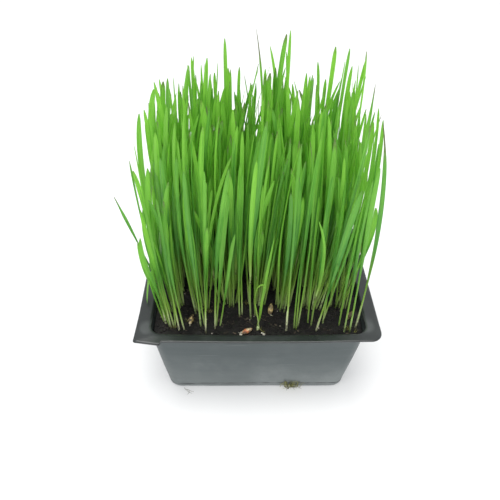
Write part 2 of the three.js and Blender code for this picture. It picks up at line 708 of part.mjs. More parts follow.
// A blade along a smooth way through the given points, with its rings across it
function curledBlade({ way, across, width, rings }, { x, y }) {
  const curve = new THREE.CatmullRomCurve3(way.map(([dx, dy, z]) => new THREE.Vector3(x + dx, y + dy, z)));
  const side = new THREE.Vector3(...across);
  const edges = Array.from({ length: rings }, (_, index) => {
    const share = index / rings;
    const middle = curve.getPointAt(share);
    const keel = curve.getTangentAt(share).cross(side).normalize().multiplyScalar(BLADE_THICK);
    const half = side.clone().multiplyScalar(widthAt(share, width, STEM_END) / 2);
    return [middle.clone().sub(half), middle.clone().add(half), middle.clone().add(keel)];
  });
  const rows = edges.map((corners) => corners.map((corner) => corner.toArray()));
  return bladeGeometry(rows, curve.getPointAt(1).toArray());
}

function seedlingGeometry() {
  const ball = prismAt(SEEDLING, SEEDLING.ball, BALL_TOP - SEEDLING.ball.depth, BALL_TOP);
  const leaves = SEEDLING.leaves.map((leaf) => solidOf(curledBlade(leaf, SEEDLING)));
  return geometryFrom(leaves.reduce((joined, leaf) => joined.add(leaf), solidOf(ball)));
}

// ---- the whole ----

const clumps = clumpPlaces();
const blades = growGrass(clumps);
const wheatgrassTray = new THREE.Group();
const numbered = (name, index) => `${name}_${String(index + 1).padStart(2, "0")}`;
wheatgrassTray.add(partOf("tray", tray(), PLASTIC));
wheatgrassTray.add(partOf("soil", soil(clumps), SOIL));
KERNELS.forEach((kernel, index) => {
  wheatgrassTray.add(partOf(numbered("kernel", index), kernelAt(kernel, 0), GRAIN));
});
wheatgrassTray.add(partOf("seedling", seedlingGeometry(), GRASS));
clumps.forEach((clump, index) => {
  wheatgrassTray.add(partOf(numbered("clump", index), clumpGeometry(clump, index, blades), GRASS));
});

export default wheatgrassTray;
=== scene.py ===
import math
import random

import bpy
import numpy as np
from mathutils import Matrix, Vector, noise


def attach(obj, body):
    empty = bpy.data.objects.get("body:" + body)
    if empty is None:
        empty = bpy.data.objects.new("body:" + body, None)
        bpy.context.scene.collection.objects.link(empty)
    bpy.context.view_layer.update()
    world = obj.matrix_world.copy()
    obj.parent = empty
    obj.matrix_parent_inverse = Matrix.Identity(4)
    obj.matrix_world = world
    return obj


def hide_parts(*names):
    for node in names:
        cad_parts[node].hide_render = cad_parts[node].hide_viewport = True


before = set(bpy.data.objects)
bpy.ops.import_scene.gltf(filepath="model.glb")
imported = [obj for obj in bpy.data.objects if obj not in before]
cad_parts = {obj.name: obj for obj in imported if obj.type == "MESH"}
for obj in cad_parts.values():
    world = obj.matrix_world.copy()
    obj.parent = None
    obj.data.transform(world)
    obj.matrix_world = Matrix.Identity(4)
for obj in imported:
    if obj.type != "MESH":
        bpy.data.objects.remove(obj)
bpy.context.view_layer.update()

MM = 0.001  # sizes below are in millimetres, and a mesh is scaled as it is made
FULL_TURN = 2 * math.pi
NOISE_RANGE = (0.3, 0.7)  # what a noise texture mostly gives


# ---- small helpers ----


def new_object(name, data):
    obj = bpy.data.objects.new(name, data)
    bpy.context.scene.collection.objects.link(obj)
    return obj


def new_mesh(name, points, faces, material):
    """A smooth mesh object from points in millimetres."""
    mesh = bpy.data.meshes.new(name)
    mesh.from_pydata((np.asarray(points) * MM).tolist(), [], [list(map(int, face)) for face in faces])
    mesh.polygons.foreach_set("use_smooth", [True] * len(mesh.polygons))
    mesh.materials.append(material)
    mesh.update()
    return new_object(name, mesh)


def add_piece(name, points, faces, material, node_names=(), values=None):
    """A piece that rides on the tray, with attributes whose values are given for every point."""
    piece = new_mesh(name, points, faces, material)
    for attribute, numbers in (values or {}).items():
        layer = piece.data.attributes.new(attribute, "FLOAT", "POINT")
        layer.data.foreach_set("value", np.asarray(numbers, np.float32))
    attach(piece, "root")
    if node_names:
        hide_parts(*node_names)


class Pile:
    """Meshes gathered into one, with a value of each attribute for every point."""

    def __init__(self, *attributes):
        self.points, self.faces, self.count = [], [], 0
        self.values = {name: [] for name in attributes}

    def add(self, points, faces, values=None, **more):
        values = {**(values or {}), **more}
        self.faces += [[i + self.count for i in face] for face in faces]
        self.points.append(np.asarray(points, float))
        for name, parts in self.values.items():
            parts.append(np.broadcast_to(values[name], len(points)))
        self.count += len(points)

    def piece(self, name, material, slot, node_names=()):
        values = {key: np.concatenate(parts) for key, parts in self.values.items()}
        add_piece(name, np.concatenate(self.points), self.faces, material, node_names, values)


def grid_faces(rows, columns, closed=False, capped=False):
    """Quads of a grid of points stored row by row, closed round its columns and capped if asked."""
    faces = []
    for i in range(rows - 1):
        for j in range(columns if closed else columns - 1):
            k = (j + 1) % columns
            faces.append((i * columns + j, i * columns + k, (i + 1) * columns + k, (i + 1) * columns + j))
    if capped:
        faces += [range(columns)[::-1], range((rows - 1) * columns, rows * columns)]
    return faces


def smoothstep(low, high, x):
    """0 before low, 1 past high and smooth between them; low may be the larger."""
    t = np.clip((np.asarray(x, float) - low) / (high - low), 0, 1)
    return t * t * (3 - 2 * t)


def ease(low, high, x):
    return float(smoothstep(low, high, x))


def toward(angle, *rest):
    """A step of one at an angle round z, with any further coordinates after it."""
    return np.array((math.cos(angle), math.sin(angle), *rest))


def directions(path):
    along = np.gradient(path, axis=0)
    return along / np.linalg.norm(along, axis=1, keepdims=True)


def linear(red, green, blue):
    """A colour given as 0 to 255 in sRGB, as the shader wants it."""
    channels = (value / 255 for value in (red, green, blue))
    return tuple(v / 12.92 if v <= 0.04045 else ((v + 0.055) / 1.055) ** 2.4 for v in channels)


class Shading:
    """A material's node tree: each method adds a node and gives back its output."""

    def __init__(self, name):
        self.material = bpy.data.materials.new(name)
        self.material.use_nodes = True
        self.tree = self.material.node_tree
        self.tree.nodes.clear()

    def fill(self, socket, value):
        """Link another node's output to a socket, or set a number or colour on it."""
        if isinstance(value, bpy.types.NodeSocket):
            self.tree.links.new(value, socket)
        else:
            is_colour = socket.type == "RGBA" and len(value) == 3
            socket.default_value = (*value, 1) if is_colour else value

    def node(self, kind, inputs=(), out=0, **settings):
        node = self.tree.nodes.new("ShaderNode" + kind)
        for key, value in settings.items():
            setattr(node, key, value)
        for key, value in dict(inputs).items():
            self.fill(node.inputs[key], value)
        return node.outputs[out]

    def attribute(self, name):
        return self.node("Attribute", out="Fac", attribute_name=name)

    def maths(self, operation, a, b=0.0, clamp=False):
        return self.node("Math", {0: a, 1: b}, operation=operation, use_clamp=clamp)

    def times(self, a, b, clamp=False):
        return self.maths("MULTIPLY", a, b, clamp)

    def plus(self, a, b, clamp=False):
        return self.maths("ADD", a, b, clamp)

    def spread(self, *numbers):
        """A value, the range it comes from, and the range to spread it over if that isn't 0 to 1."""
        return self.node("MapRange", zip(("Value", "From Min", "From Max", "To Min", "To Max"), numbers))

    def vary(self, value, low, high):
        """Noise spread over a range."""
        return self.spread(value, *NOISE_RANGE, low, high)

    def mix(self, share, a, b, blend="MIX"):
        node = self.tree.nodes.new("ShaderNodeMix")
        node.data_type, node.blend_type = "RGBA", blend
        factor = next(s for s in node.inputs if s.name == "Factor" and s.type == "VALUE")
        colours = [s for s in node.inputs if s.type == "RGBA"]
        for socket, value in zip([factor] + colours, (share, a, b)):
            self.fill(socket, value)
        return next(s for s in node.outputs if s.type == "RGBA")

    def tint(self, colour, other, share, strength=None):
        """Another colour laid over one, by a share that may be weakened."""
        return self.mix(share if strength is None else self.times(share, strength), colour, other)

    def ramp(self, value, *stops):
        colour = self.node("ValToRGB", {"Fac": value})
        elements = colour.node.color_ramp.elements
        while len(elements) < len(stops):
            elements.new(1.0)
        for element, (place, stop) in zip(elements, stops):
            element.position = place
            element.color = (*stop, 1.0)
        return colour

    def noise(self, scale, detail=3.0, roughness=0.5, stretch=(1, 1, 1), place=None):
        """Noise over the object's own coordinates, in metres, with `scale` features a metre."""
        source = place or self.node("TexCoord", out="Object")
        mapped = self.node("Mapping", {"Vector": source, "Scale": stretch})
        inputs = {"Vector": mapped, "Scale": scale, "Detail": detail, "Roughness": roughness}
        return self.node("TexNoise", inputs, "Fac")

    def bump(self, height, distance, strength, normal=None):
        inputs = {"Height": height, "Distance": distance, "Strength": strength}
        return self.node("Bump", inputs | ({"Normal": normal} if normal else {}))

    def principled(self, colour, roughness, normal, specular=0.5):
        inputs = {"Base Color": colour, "Roughness": roughness, "Normal": normal}
        return self.node("BsdfPrincipled", inputs | {"Specular IOR Level": specular})

    def finish(self, surface):
        output = self.tree.nodes.new("ShaderNodeOutputMaterial")
        self.fill(output.inputs["Surface"], surface)
        return self.material


# ---- camera, floor and light ----

CAMERA_PLACE = (-14.0, -266.1, 301.6)
CAMERA_PITCH = math.radians(39.83)  # down from level
CAMERA_YAW = math.radians(-1.92)
CAMERA_ROLL = math.radians(1.455)
CAMERA_LENS = 37.44  # millimetres, on a sensor 36 mm wide
WORLD_COLOUR = (0.97, 0.985, 1.0, 1)
WORLD_STRENGTH = 0.95
LIGHT_TARGET = (0, 0, 0.08)  # metres, as the lights' places and sizes are
KEY_LIGHT = dict(place=(-0.12, -0.02, 1.3), size=1.0, watts=17, colour=(1.0, 0.99, 0.97))
FILL_LIGHT = dict(place=(0.2, -1.1, 0.4), size=0.9, watts=5)
FLOOR_HALF = 4000
FLOOR_GLOW = (0.17, 0.29)  # near the tray and far from it, so that the floor fades into the background
GLOW_REACH = (0.3, 1.5)


def add_camera():
    data = bpy.data.cameras.new("camera")
    data.lens = CAMERA_LENS
    data.sensor_width = 36
    data.clip_start = 0.01
    camera = new_object("camera", data)
    turn = Matrix.Rotation(CAMERA_YAW, 4, "Z") @ Matrix.Rotation(math.pi / 2 - CAMERA_PITCH, 4, "X")
    roll = Matrix.Rotation(CAMERA_ROLL, 4, "Z")
    camera.matrix_world = Matrix.Translation(Vector(CAMERA_PLACE) * MM) @ turn @ roll
    bpy.context.scene.camera = camera


def add_area_light(name, place, size, watts, colour=(1, 1, 1)):
    data = bpy.data.lights.new(name, "AREA")
    data.shape = "SQUARE"
    data.size = size
    data.energy = watts
    data.color = colour
    lamp = new_object(name, data)
    lamp.location = place
    lamp.rotation_euler = (Vector(LIGHT_TARGET) - Vector(place)).to_track_quat("-Z", "Y").to_euler()


def floor_material():
    nodes = Shading("pale_floor")
    colour = nodes.ramp(nodes.noise(9.0, 2.0), (0.3, (0.6, 0.605, 0.61)), (0.7, (0.63, 0.63, 0.63)))
    shader = nodes.node("BsdfPrincipled", {"Base Color": colour, "Roughness": 0.6})
    place = nodes.node("TexCoord", out="Object")
    far = nodes.node("VectorMath", {0: place}, "Value", operation="LENGTH")
    strength = nodes.spread(far, *GLOW_REACH, *FLOOR_GLOW)
    glow = nodes.node("Emission", {"Color": (0.98, 0.99, 1.0), "Strength": strength})
    return nodes.finish(nodes.node("AddShader", {0: shader, 1: glow}))


def add_stage():
    world = bpy.data.worlds.new("studio")
    world.use_nodes = True
    background = world.node_tree.nodes["Background"]
    background.inputs["Color"].default_value = WORLD_COLOUR
    background.inputs["Strength"].default_value = WORLD_STRENGTH
    bpy.context.scene.world = world
    add_area_light("key", **KEY_LIGHT)
    add_area_light("fill", **FILL_LIGHT)
    corners = [(x * FLOOR_HALF, y * FLOOR_HALF, 0) for x, y in ((-1, -1), (1, -1), (1, 1), (-1, 1))]
    floor = new_mesh("floor", corners, [(0, 1, 2, 3)], floor_material())


# ---- the tray ----

# The same sizes as the frame's tray: half sizes of the opening, at the inner edge of the rim
TRAY_HEIGHT = 60
OPENING_HALF_X = 67.8
OPENING_HALF_Y = 57
OPENING_CORNER = 7
LEAST_CORNER = 1.2
SHEET = 0.9
WALL_TAPER = 7.5
FOOT_RADIUS = 2
RIM_ROUND = 1.6
FRONT_BULGE = 1.1
RIM_WIDTH = 7.2
FRONT_RIM_WIDTH = 4.8
NOTCH_X = -59.5
NOTCH_RUN = 0.8
# Where the scene's tray differs from the frame's, or has more detail
RIM_CORNERS = (7, 6, 6, 0.9)  # front right, back right, back left, front left
DROOP_X, DROOP_Y, DROOP_DEPTH, DROOP_REACH = -69, -64.2, 1.1, 22
CORNER_CUT = 2.8  # how far the front left corner of the rim is trimmed back
CORNER_OUT = 1.3  # and drawn out to the left
CUT_X = -67
CUT_RUN, OUT_RUN = 9, 8  # over how many millimetres each sets in
FOOT_FORWARD = 1.8  # the front wall's foot stands this much further forward
FOOT_CORNER = 2.2  # and the corners are this much rounder at the foot
FRONT_FROM = (-38, -47)  # where the front begins, going forwards
CREASE_HEIGHT = 3.7
CREASE_WIDTH = 0.6
CREASE_DEPTH = 0.9
CREASE_ENDS = (-44, -36, 52, 58)  # where the crease fades in and out along the front
WALL_RIPPLE = 0.35  # formed sheet is a little uneven, apart from its rim
RIPPLE_TOP = TRAY_HEIGHT - 3
LIP = 0.12
CORNER_STEPS = 12
ARC_STEPS = 6
SIDE_STEPS = 10
WALL_LEVELS = (2.3, 2.8, 3.2, 3.5, 3.8, 4.2, 4.8, 6, 8, 13, 20, 28, 36, 44, 51, 56)
RIM_STEPS = 4
BASE_SHARES = (0.002, 0.25, 0.5, 0.75)
STRAIGHT = OPENING_HALF_X - OPENING_CORNER
WALL_ANGLE = math.atan((WALL_TAPER - RIM_ROUND + SHEET) / (TRAY_HEIGHT - RIM_ROUND))
FRONT_SHARES = [(NOTCH_X + side * NOTCH_RUN / 2) / STRAIGHT for side in (-1, 1)]
FRONT_SHARES += list(np.linspace(-0.9, 0.9, 2 * SIDE_STEPS - 1))


def bulge(share, z):
    return FRONT_BULGE * (1 - share * share) * z / TRAY_HEIGHT


def tray_ring(z, front, corners):
    """A ring round the tray: its front edge, then each corner's arc and each side's points."""
    points = list(front)
    sides = (np.arange(1, SIDE_STEPS) / SIDE_STEPS).tolist()
    for corner, (x, y, radius) in enumerate(corners):
        for step in range(CORNER_STEPS + 1):
            angle = math.pi / 2 * (corner - 1 + step / CORNER_STEPS)
            points.append((x + radius * math.cos(angle), y + radius * math.sin(angle), z))
        if corner < 3:
            start = np.array(points[-1][:2])
            x2, y2, radius2 = corners[corner + 1]
            toward = math.pi / 2 * corner
            end = np.array((x2 + radius2 * math.cos(toward), y2 + radius2 * math.sin(toward)))
            points += [(*(start + (end - start) * share), z) for share in sides]
    return points


def wall_ring(offset, z):
    radius = max(LEAST_CORNER, OPENING_CORNER + min(0, offset + WALL_TAPER))
    radius += FOOT_CORNER * (1 - z / TRAY_HEIGHT) ** 2
    x = OPENING_HALF_X + offset - radius
    y = OPENING_HALF_Y + offset - radius
    front = [(share * x, -y - radius - bulge(share, z), z) for share in FRONT_SHARES]
    return tray_ring(z, front, [(x, -y, radius), (x, y, radius), (-x, y, radius), (-x, -y, radius)])


def rim_ring(z):
    x = OPENING_HALF_X + RIM_WIDTH
    back = OPENING_HALF_Y + RIM_WIDTH
    front = OPENING_HALF_Y + FRONT_RIM_WIDTH
    a, b, c, d = RIM_CORNERS
    corners = [(x - a, a - front, a), (x - b, back - b, b), (c - x, back - c, c), (d - x, d - back, d)]
    edge = []
    for share in FRONT_SHARES:
        reach = back if share * STRAIGHT < NOTCH_X else front
        edge.append((share * STRAIGHT, -reach - bulge(share, TRAY_HEIGHT), z))
    ring = []
    for px, py, pz in tray_ring(z, edge, corners):
        near = max(0.0, 1 - math.hypot(px - DROOP_X, py - DROOP_Y) / DROOP_REACH)
        cut = CORNER_CUT * ease(CUT_X, CUT_X - CUT_RUN, px) if py < -STRAIGHT else 0
        out = CORNER_OUT * ease(CUT_X, CUT_X - OUT_RUN, px) * near
        ring.append((px - out, py + cut, pz - DROOP_DEPTH * near))
    return np.array(ring)


def wall_offset(z, inward):
    across = (RIM_ROUND - SHEET + inward) / math.cos(WALL_ANGLE)
    return -across - (TRAY_HEIGHT - RIM_ROUND - z) * math.tan(WALL_ANGLE)


def arc_points(middle, radius, start, end):
    angles = start + (end - start) * np.arange(ARC_STEPS + 1) / ARC_STEPS
    return [(middle[0] + radius * math.cos(a), middle[1] + radius * math.sin(a)) for a in angles]


def sheet_profile(inward):
    """The wall's section, `inward` from its outer face: the foot's arc, the wall and the rim's arc."""
    foot_middle = (wall_offset(FOOT_RADIUS, 0) - FOOT_RADIUS / math.cos(WALL_ANGLE), FOOT_RADIUS)
    foot = arc_points(foot_middle, FOOT_RADIUS - inward, -math.pi / 2, -WALL_ANGLE)
    rim_middle = (0, TRAY_HEIGHT - RIM_ROUND)
    rim = arc_points(rim_middle, RIM_ROUND - SHEET + inward, math.pi - WALL_ANGLE, math.pi / 2)
    low, high = np.array(foot[-1]), np.array(rim[0])
    wall = [tuple(low + (high - low) * (z - low[1]) / (high[1] - low[1])) for z in WALL_LEVELS]
    return foot + wall + rim


def base_rings(edge):
    """Rings that close a base inwards from its edge, from the middle out."""
    middle = edge.mean(0)
    return [middle + (edge - middle) * share for share in BASE_SHARES]


def offset_ring(offset, z, creased):
    """A ring of the wall, a little uneven, with the front's foot forward."""
    points = np.array(wall_ring(offset, z))
    ripple = WALL_RIPPLE if z < RIPPLE_TOP else 0
    depth = CREASE_DEPTH * math.exp(-(((z - CREASE_HEIGHT) / CREASE_WIDTH) ** 2))
    a, b, c, d = CREASE_ENDS
    for point in points:
        wave = noise.noise(Vector((point[0] * 0.03, point[1] * 0.03, z * 0.05)))
        point[:2] *= 1 + ripple * wave / OPENING_HALF_X
        front = ease(*FRONT_FROM, point[1])
        point[1] -= FOOT_FORWARD * front * (1 - z / TRAY_HEIGHT) ** 2
        if creased:
            point[1] += depth * front * float(smoothstep(a, b, point[0]) * (1 - smoothstep(c, d, point[0])))
    return points


def add_tray(material):
    """The formed tray: base, foot, wall and rim, outside and inside, as one closed sheet."""
    outside = [offset_ring(offset, z, True) for offset, z in sheet_profile(0)]
    inside = [offset_ring(offset, z, False) for offset, z in sheet_profile(SHEET)]
    under_edge, top_edge = rim_ring(TRAY_HEIGHT - SHEET), rim_ring(TRAY_HEIGHT)
    shares = np.arange(1, RIM_STEPS + 1) / (RIM_STEPS + 1)
    under = [outside[-1] + (under_edge - outside[-1]) * share for share in shares]
    over = [inside[-1] + (top_edge - inside[-1]) * share for share in shares][::-1]
    middle = (top_edge + under_edge) / 2
    out = middle - middle.mean(0)
    lip = middle + LIP * out / np.linalg.norm(out, axis=1, keepdims=True)
    rings = base_rings(outside[0]) + outside + under + [under_edge, lip, top_edge] + over
    rings += inside[::-1] + base_rings(inside[0])[::-1]
    faces = grid_faces(len(rings), len(rings[0]), closed=True, capped=True)
    add_piece("tray_shell", np.concatenate(rings), faces, material, ["tray"])


# ---- the soil ----

SOIL_TOP = 55
SOIL_GAP = 0.4
SOIL_INWARD = SHEET + SOIL_GAP
SOIL_CELL = 0.85
SOIL_CORNER = 6.9
SOIL_LEVELS = (40, 22, 8, 2.5, SOIL_INWARD + 0.1)  # of the rings below its surface
# Waves of its surface: height, pace and place in the noise
SOIL_WAVES = [(0.9, 0.06, (0, 0, 0)), (0.75, 0.19, (5, 1, 9)), (0.5, 0.55, (2, 7, 3)), (0.22, 1.3, (0, 0, 0))]
CLOD_PACE = 0.35
CLOD_PLACE = Vector((9, 3, 4))
DENT_REACH = 3
# Bare kernels: place, turn, tilt, how many roots, and how dirty
KERNELS = [
    (-7.4, -50.5, 0.5, 0.1, 3, 0.75),
    (8, -33.5, 1.3, 0.95, 2, 0.78),
    (-42.6, -41, 1.3, 0.25, 1, 1.0),
    (58.5, -38.9, 0.2, 0.95, 0, 0.92),
]
FRONT_SHARE = 0.6  # of the litter is drawn for the front part of the soil, and the rest for all of it
FRONT_PART = 0.42
CRUMBS = 1500
FIBRES = 420
FIBRE_SHAPE = np.array([0.7, 1, 1, 1, 1, 0.9, 0.7, 0.3])
CHIPS = 130
GRITS = 16
GRIT_SPOTS = [(-10.8, -51.4), (-11.6, -52.4), (1.9, -51.6), (3.0, -52.2), (13.5, -45.8), (-29.1, -51.5)]
LARGE_GRITS = 4  # the first of them


def soil_half(z):
    inward = wall_offset(z, SOIL_INWARD)
    return OPENING_HALF_X + inward, OPENING_HALF_Y + inward


def soil_height(x, y):
    spot = Vector((x, y, 0))
    height = sum(high * noise.noise(spot * pace + Vector(place)) for high, pace, place in SOIL_WAVES)
    height += 0.5 * max(0, noise.noise(spot * CLOD_PACE + CLOD_PLACE)) ** 0.7
    for kx, ky, *_ in KERNELS:
        near = math.exp(-((x - kx) ** 2 + (y - ky) ** 2) / DENT_REACH**2)
        height = height * (1 - 0.8 * near) - 0.2 * near
    return SOIL_TOP + height


def ground_under(path):
    return np.array([soil_height(x, y) for x, y, _ in path])


def soil_spot(u, v):
    """A place on the soil for shares of its half sizes, pressed into the tray's rounded corners."""
    half_x, half_y = soil_half(SOIL_TOP)
    x, y = u * half_x, v * half_y
    dx, dy = abs(x) - (half_x - SOIL_CORNER), abs(y) - (half_y - SOIL_CORNER)
    if dx > 0 and dy > 0:
        pull = max(dx, dy) / math.hypot(dx, dy)
        x = math.copysign(half_x - SOIL_CORNER + dx * pull, x)
        y = math.copysign(half_y - SOIL_CORNER + dy * pull, y)
    if v < 0:
        y -= bulge(min(1, abs(x) / STRAIGHT), SOIL_TOP) * v * v
    return x, y


def add_soil(material):
    half_x, half_y = soil_half(SOIL_TOP)
    columns, rows = int(2 * half_x / SOIL_CELL) + 1, int(2 * half_y / SOIL_CELL) + 1
    spots = [soil_spot(u, v) for v in np.linspace(-1, 1, rows) for u in np.linspace(-1, 1, columns)]
    points = [(x, y, soil_height(x, y)) for x, y in spots]
    faces = grid_faces(rows, columns)
    grid = np.arange(rows * columns).reshape(rows, columns)
    previous = [*grid[0], *grid[1:, -1], *grid[-1, -2::-1], *grid[-2:0:-1, 0]]
    edge = np.array([points[i] for i in previous])
    for z in SOIL_LEVELS:
        x_half, y_half = soil_half(z)
        tuck = FOOT_RADIUS - math.sqrt(FOOT_RADIUS**2 - (FOOT_RADIUS - z) ** 2) if z < FOOT_RADIUS else 0
        ring = edge * ((x_half - tuck) / half_x, (y_half - tuck) / half_y, 1)
        ring[:, 2] = z
        now = list(range(len(points), len(points) + len(edge)))
        points += map(tuple, ring)
        for i in range(len(edge)):
            j = (i + 1) % len(edge)
            faces.append((previous[j], previous[i], now[i], now[j]))
        previous = now
    faces.append(previous[::-1])
    add_piece("soil_bed", points, faces, material, ["soil"])


def lump(rand, size, squash, rough=0.35, around=7, up=5):
    """A small uneven lump round the origin."""
    points = [(0, 0, -1)]
    for polar in math.pi * np.arange(1, up) / up:
        for a in FULL_TURN * np.arange(around) / around:
            points.append((math.sin(polar) * math.cos(a), math.sin(polar) * math.sin(a), -math.cos(polar)))
    points.append((0, 0, 1))
    faces = [(0, 1 + (i + 1) % around, 1 + i) for i in range(around)]
    faces += [[1 + i for i in face] for face in grid_faces(up - 1, around, closed=True)]
    last = 1 + (up - 2) * around
    faces += [(last + i, last + (i + 1) % around, len(points) - 1) for i in range(around)]
    seed = Vector([rand.uniform(-50, 50) for _ in range(3)])
    shaped = []
    for p in map(Vector, points):
        r = 1 + rough * noise.noise(p * 1.3 + seed) + 0.5 * rough * noise.noise(p * 3.1 + seed)
        shaped.append((p.x * r, p.y * r, p.z * r))
    stretch = (rand.uniform(0.75, 1.3), rand.uniform(0.7, 1.1), squash * rand.uniform(0.7, 1.0))
    turn = Matrix.Rotation(rand.uniform(0, FULL_TURN), 3, "Z")
    turn = turn @ Matrix.Rotation(rand.uniform(-0.5, 0.5), 3, "X")
    return (np.array(shaped) * stretch * size) @ np.array(turn).T, faces


def tube(path, radii, sides):
    """A closed tube along a path."""
    path = np.asarray(path, float)
    along = directions(path)
    side = np.cross(along, (0.31, 0.2, 0.93))  # not along any of the paths
    side /= np.linalg.norm(side, axis=1, keepdims=True)
    angles = (FULL_TURN * np.arange(sides) / sides)[:, None]
    rings = []
    for p, r, a, b in zip(path, radii, side, np.cross(along, side)):
        rings.append(p + r * (np.cos(angles) * a + np.sin(angles) * b))
    return np.concatenate(rings), grid_faces(len(path), sides, closed=True, capped=True)


def wander(rand, start, heading, length, steps, bend):
    """A level path that strays from its heading as a fibre or root does."""
    points = [np.array(start, float)]
    curve = rand.uniform(-bend, bend)
    for _ in range(steps):
        heading += curve * length / steps + rand.gauss(0, bend * 0.12)
        curve += rand.gauss(0, bend * 0.25)
        rand.gauss(0, 1)  # unused, but every later draw depends on it
        points.append(points[-1] + toward(heading, 0) * length / steps)
    return np.array(points)


def free_spot(rand, reach=0.97):
    """A place on the soil, drawn more often near the front, where the grass is open."""
    u = rand.uniform(-reach, reach)
    v = rand.uniform(-reach, reach)
    if rand.random() < FRONT_SHARE:
        v = -reach + (v + reach) * FRONT_PART
    return soil_spot(u, v)


def drop_lump(pile, rand, x, y, size, squash, lift, **shape):
    """A lump that lies on the soil, its middle `lift` above it."""
    points, faces = lump(rand, size, squash, **shape)
    pile.add(points + (x, y, soil_height(x, y) + lift), faces, shade=rand.random())


def add_crumbs(soil_material, fibre_material, grit_material, feet):
    rand = random.Random(31)
    crumbs = Pile("shade")
    for _ in range(CRUMBS):
        x, y = free_spot(rand)
        size = 0.35 + 0.95 * rand.random() ** 3
        drop_lump(crumbs, rand, x, y, size, 0.8, 0.15 * size)
    crumbs.piece("soil_crumbs", soil_material, "soil")
    crumbs = Pile("shade")
    for x, y in feet:
        for _ in range(rand.choice((1, 2, 2, 3))):
            around, away = rand.uniform(0, FULL_TURN), rand.uniform(0.5, 1.1)
            size = rand.uniform(0.3, 0.75)
            drop_lump(crumbs, rand, *((x, y) + away * toward(around)), size, 0.9, 0.25 * size)
    crumbs.piece("foot_crumbs", soil_material, "soil")
    fibres = Pile("shade")
    for _ in range(FIBRES):
        x, y = free_spot(rand, 0.93)
        length = 2 + 7 * rand.random() ** 2
        path = wander(rand, (x, y, 0), rand.uniform(0, FULL_TURN), length, 7, 0.35)
        path[:, 2] = ground_under(path) + 0.12 + np.linspace(0, 1, len(path)) ** 2 * rand.uniform(-0.3, 1.3)
        radius = rand.uniform(0.06, 0.16)
        fibres.add(*tube(path, radius * FIBRE_SHAPE, 5), shade=rand.random())
    for _ in range(CHIPS):
        x, y = free_spot(rand, 0.95)
        length, width = rand.uniform(1.2, 4.2), rand.uniform(0.5, 1.4)
        points, faces = lump(rand, 1.0, 0.35, 0.5)
        points *= (length / 2, width / 2, 0.6)
        c, s = toward(rand.uniform(0, FULL_TURN))
        points = points @ np.array(((c, s, 0), (-s, c, 0), (0, 0, 1)))
        points[:, 2] += points[:, 0] * rand.uniform(-0.2, 0.2)
        fibres.add(points + (x, y, soil_height(x, y) + 0.25), faces, shade=rand.random())
    fibres.piece("soil_fibres", fibre_material, "soil")
    grits = Pile("shade")
    for number, (x, y) in enumerate(GRIT_SPOTS + [free_spot(rand) for _ in range(GRITS)]):
        size = rand.uniform(0.3, 0.6) + (0.35 if number < LARGE_GRITS else 0)
        drop_lump(grits, rand, x, y, size, 0.9, 0.35, rough=0.45, around=8, up=6)
    grits.piece("pale_grit", grit_material, "soil")


# ---- the grass ----

# How a blade of the frame runs from its root to its tip, over shares of its length
STEM_WIDTH = 1.3
STEM_END = 0.24
OPENING_SHARE = 0.4
TAPER_FROM = 0.6
TAPER_POWER = 4
LEAN_POWER = 1.7
BEND_POWER = 3
BLADE_THICK = 1.1
ROOT_Z = 48.8
TIP_DROP = 3  # a tip's neighbours all lie further below it than this
FIRST_SHARES = (0.93, 0.6, 0.3)  # of a shoot's rings, from its tip down
SECOND_SHARES = (0.86, 0.2)  # and of a second leaf's
# How the leaves here differ
BLUNT_POWER = 2.7
THIN_STEM = 1.05
TIP_SHARE = 0.997  # where the last row of a leaf's mesh stands
PINCH_AT, PINCH_RUN = 0.6, 0.13
SHRIVELLED = (0.84, 0.94)  # where the dry end of a stray leaf begins to be thinner
STRAY_SLIM = 0.65  # widths here, as shares of those in the frame
SLIM_RANGE = (0.6, 0.84)
RIGHT_SLIM = 0.85
FOLD = 0.09  # how sharply a leaf folds along its midrib, as a share of its width
ROLLED = math.radians(345)
FLAT = math.radians(48)
FULL_GRID = (26, 9)  # rows and columns of a leaf's mesh
SLIM_GRID = (20, 7)
LEAF_VALUES = ("along", "across", "tone", "cool", "dry", "pale")
PALE_TUBE = dict(along=0.0, across=0.0, tone=0.5, cool=0.0, dry=0.0, pale=1.0)
DRY_SHARE = 0.4
PALE_SHARE = 0.16
SHEATH_SHARE = 0.55
SHEATH_ROWS = 9
SHEATH_SIDES = 8
SHEATH_START = 0.02
SHEATH_RADIUS = 0.62
YOUNG_SHARE = 0.62
ARCHED_SHARE = 0.16
STRAY_WIDTH = 2.6
TALL = 194
SAME_PLACE = 0.3  # how close a shoot stands to a place given for it
FRONT_FADE = (-46, -22)  # going back, leaves grow less bluish
LIGHT_FADE = (-30, 20)  # and brighter, as painted light
TIPS_LOW = (-74, -60)
TIPS_HIGH = (71, 61)
LEFT_EDGE = -44
FAR_LEFT = -50
LOW_LEANS = (3, 6)  # further to the left, for the shorter shoots along the left edge
LOW_HEIGHTS = (0.55, 0.85)
LOW_WIDTH = 2.4
LEFT_BACK = 24
UPRIGHT = -8  # a shoot counts as upright if it leans no further to the left
RIGHT_EDGE = 48  # shoots beyond it, near the front, are slimmer and lean a little less
RIGHT_FRONT = -24
RIGHT_IN = 4.2
FRONT_CLUMPS = 6
SECOND_CLUMPS = 7
COMPANIONS = (0.9, 2.5, 2.4)  # how many stand by each shoot in the front row, the second row and behind
REACHES = ((1.2, 3.2), (1.2, 3.6), (2.2, 5.2))  # and how far from it
ROOTLETS = 9
SOIL_SHARE = 0.06  # about where a shoot leaves the soil
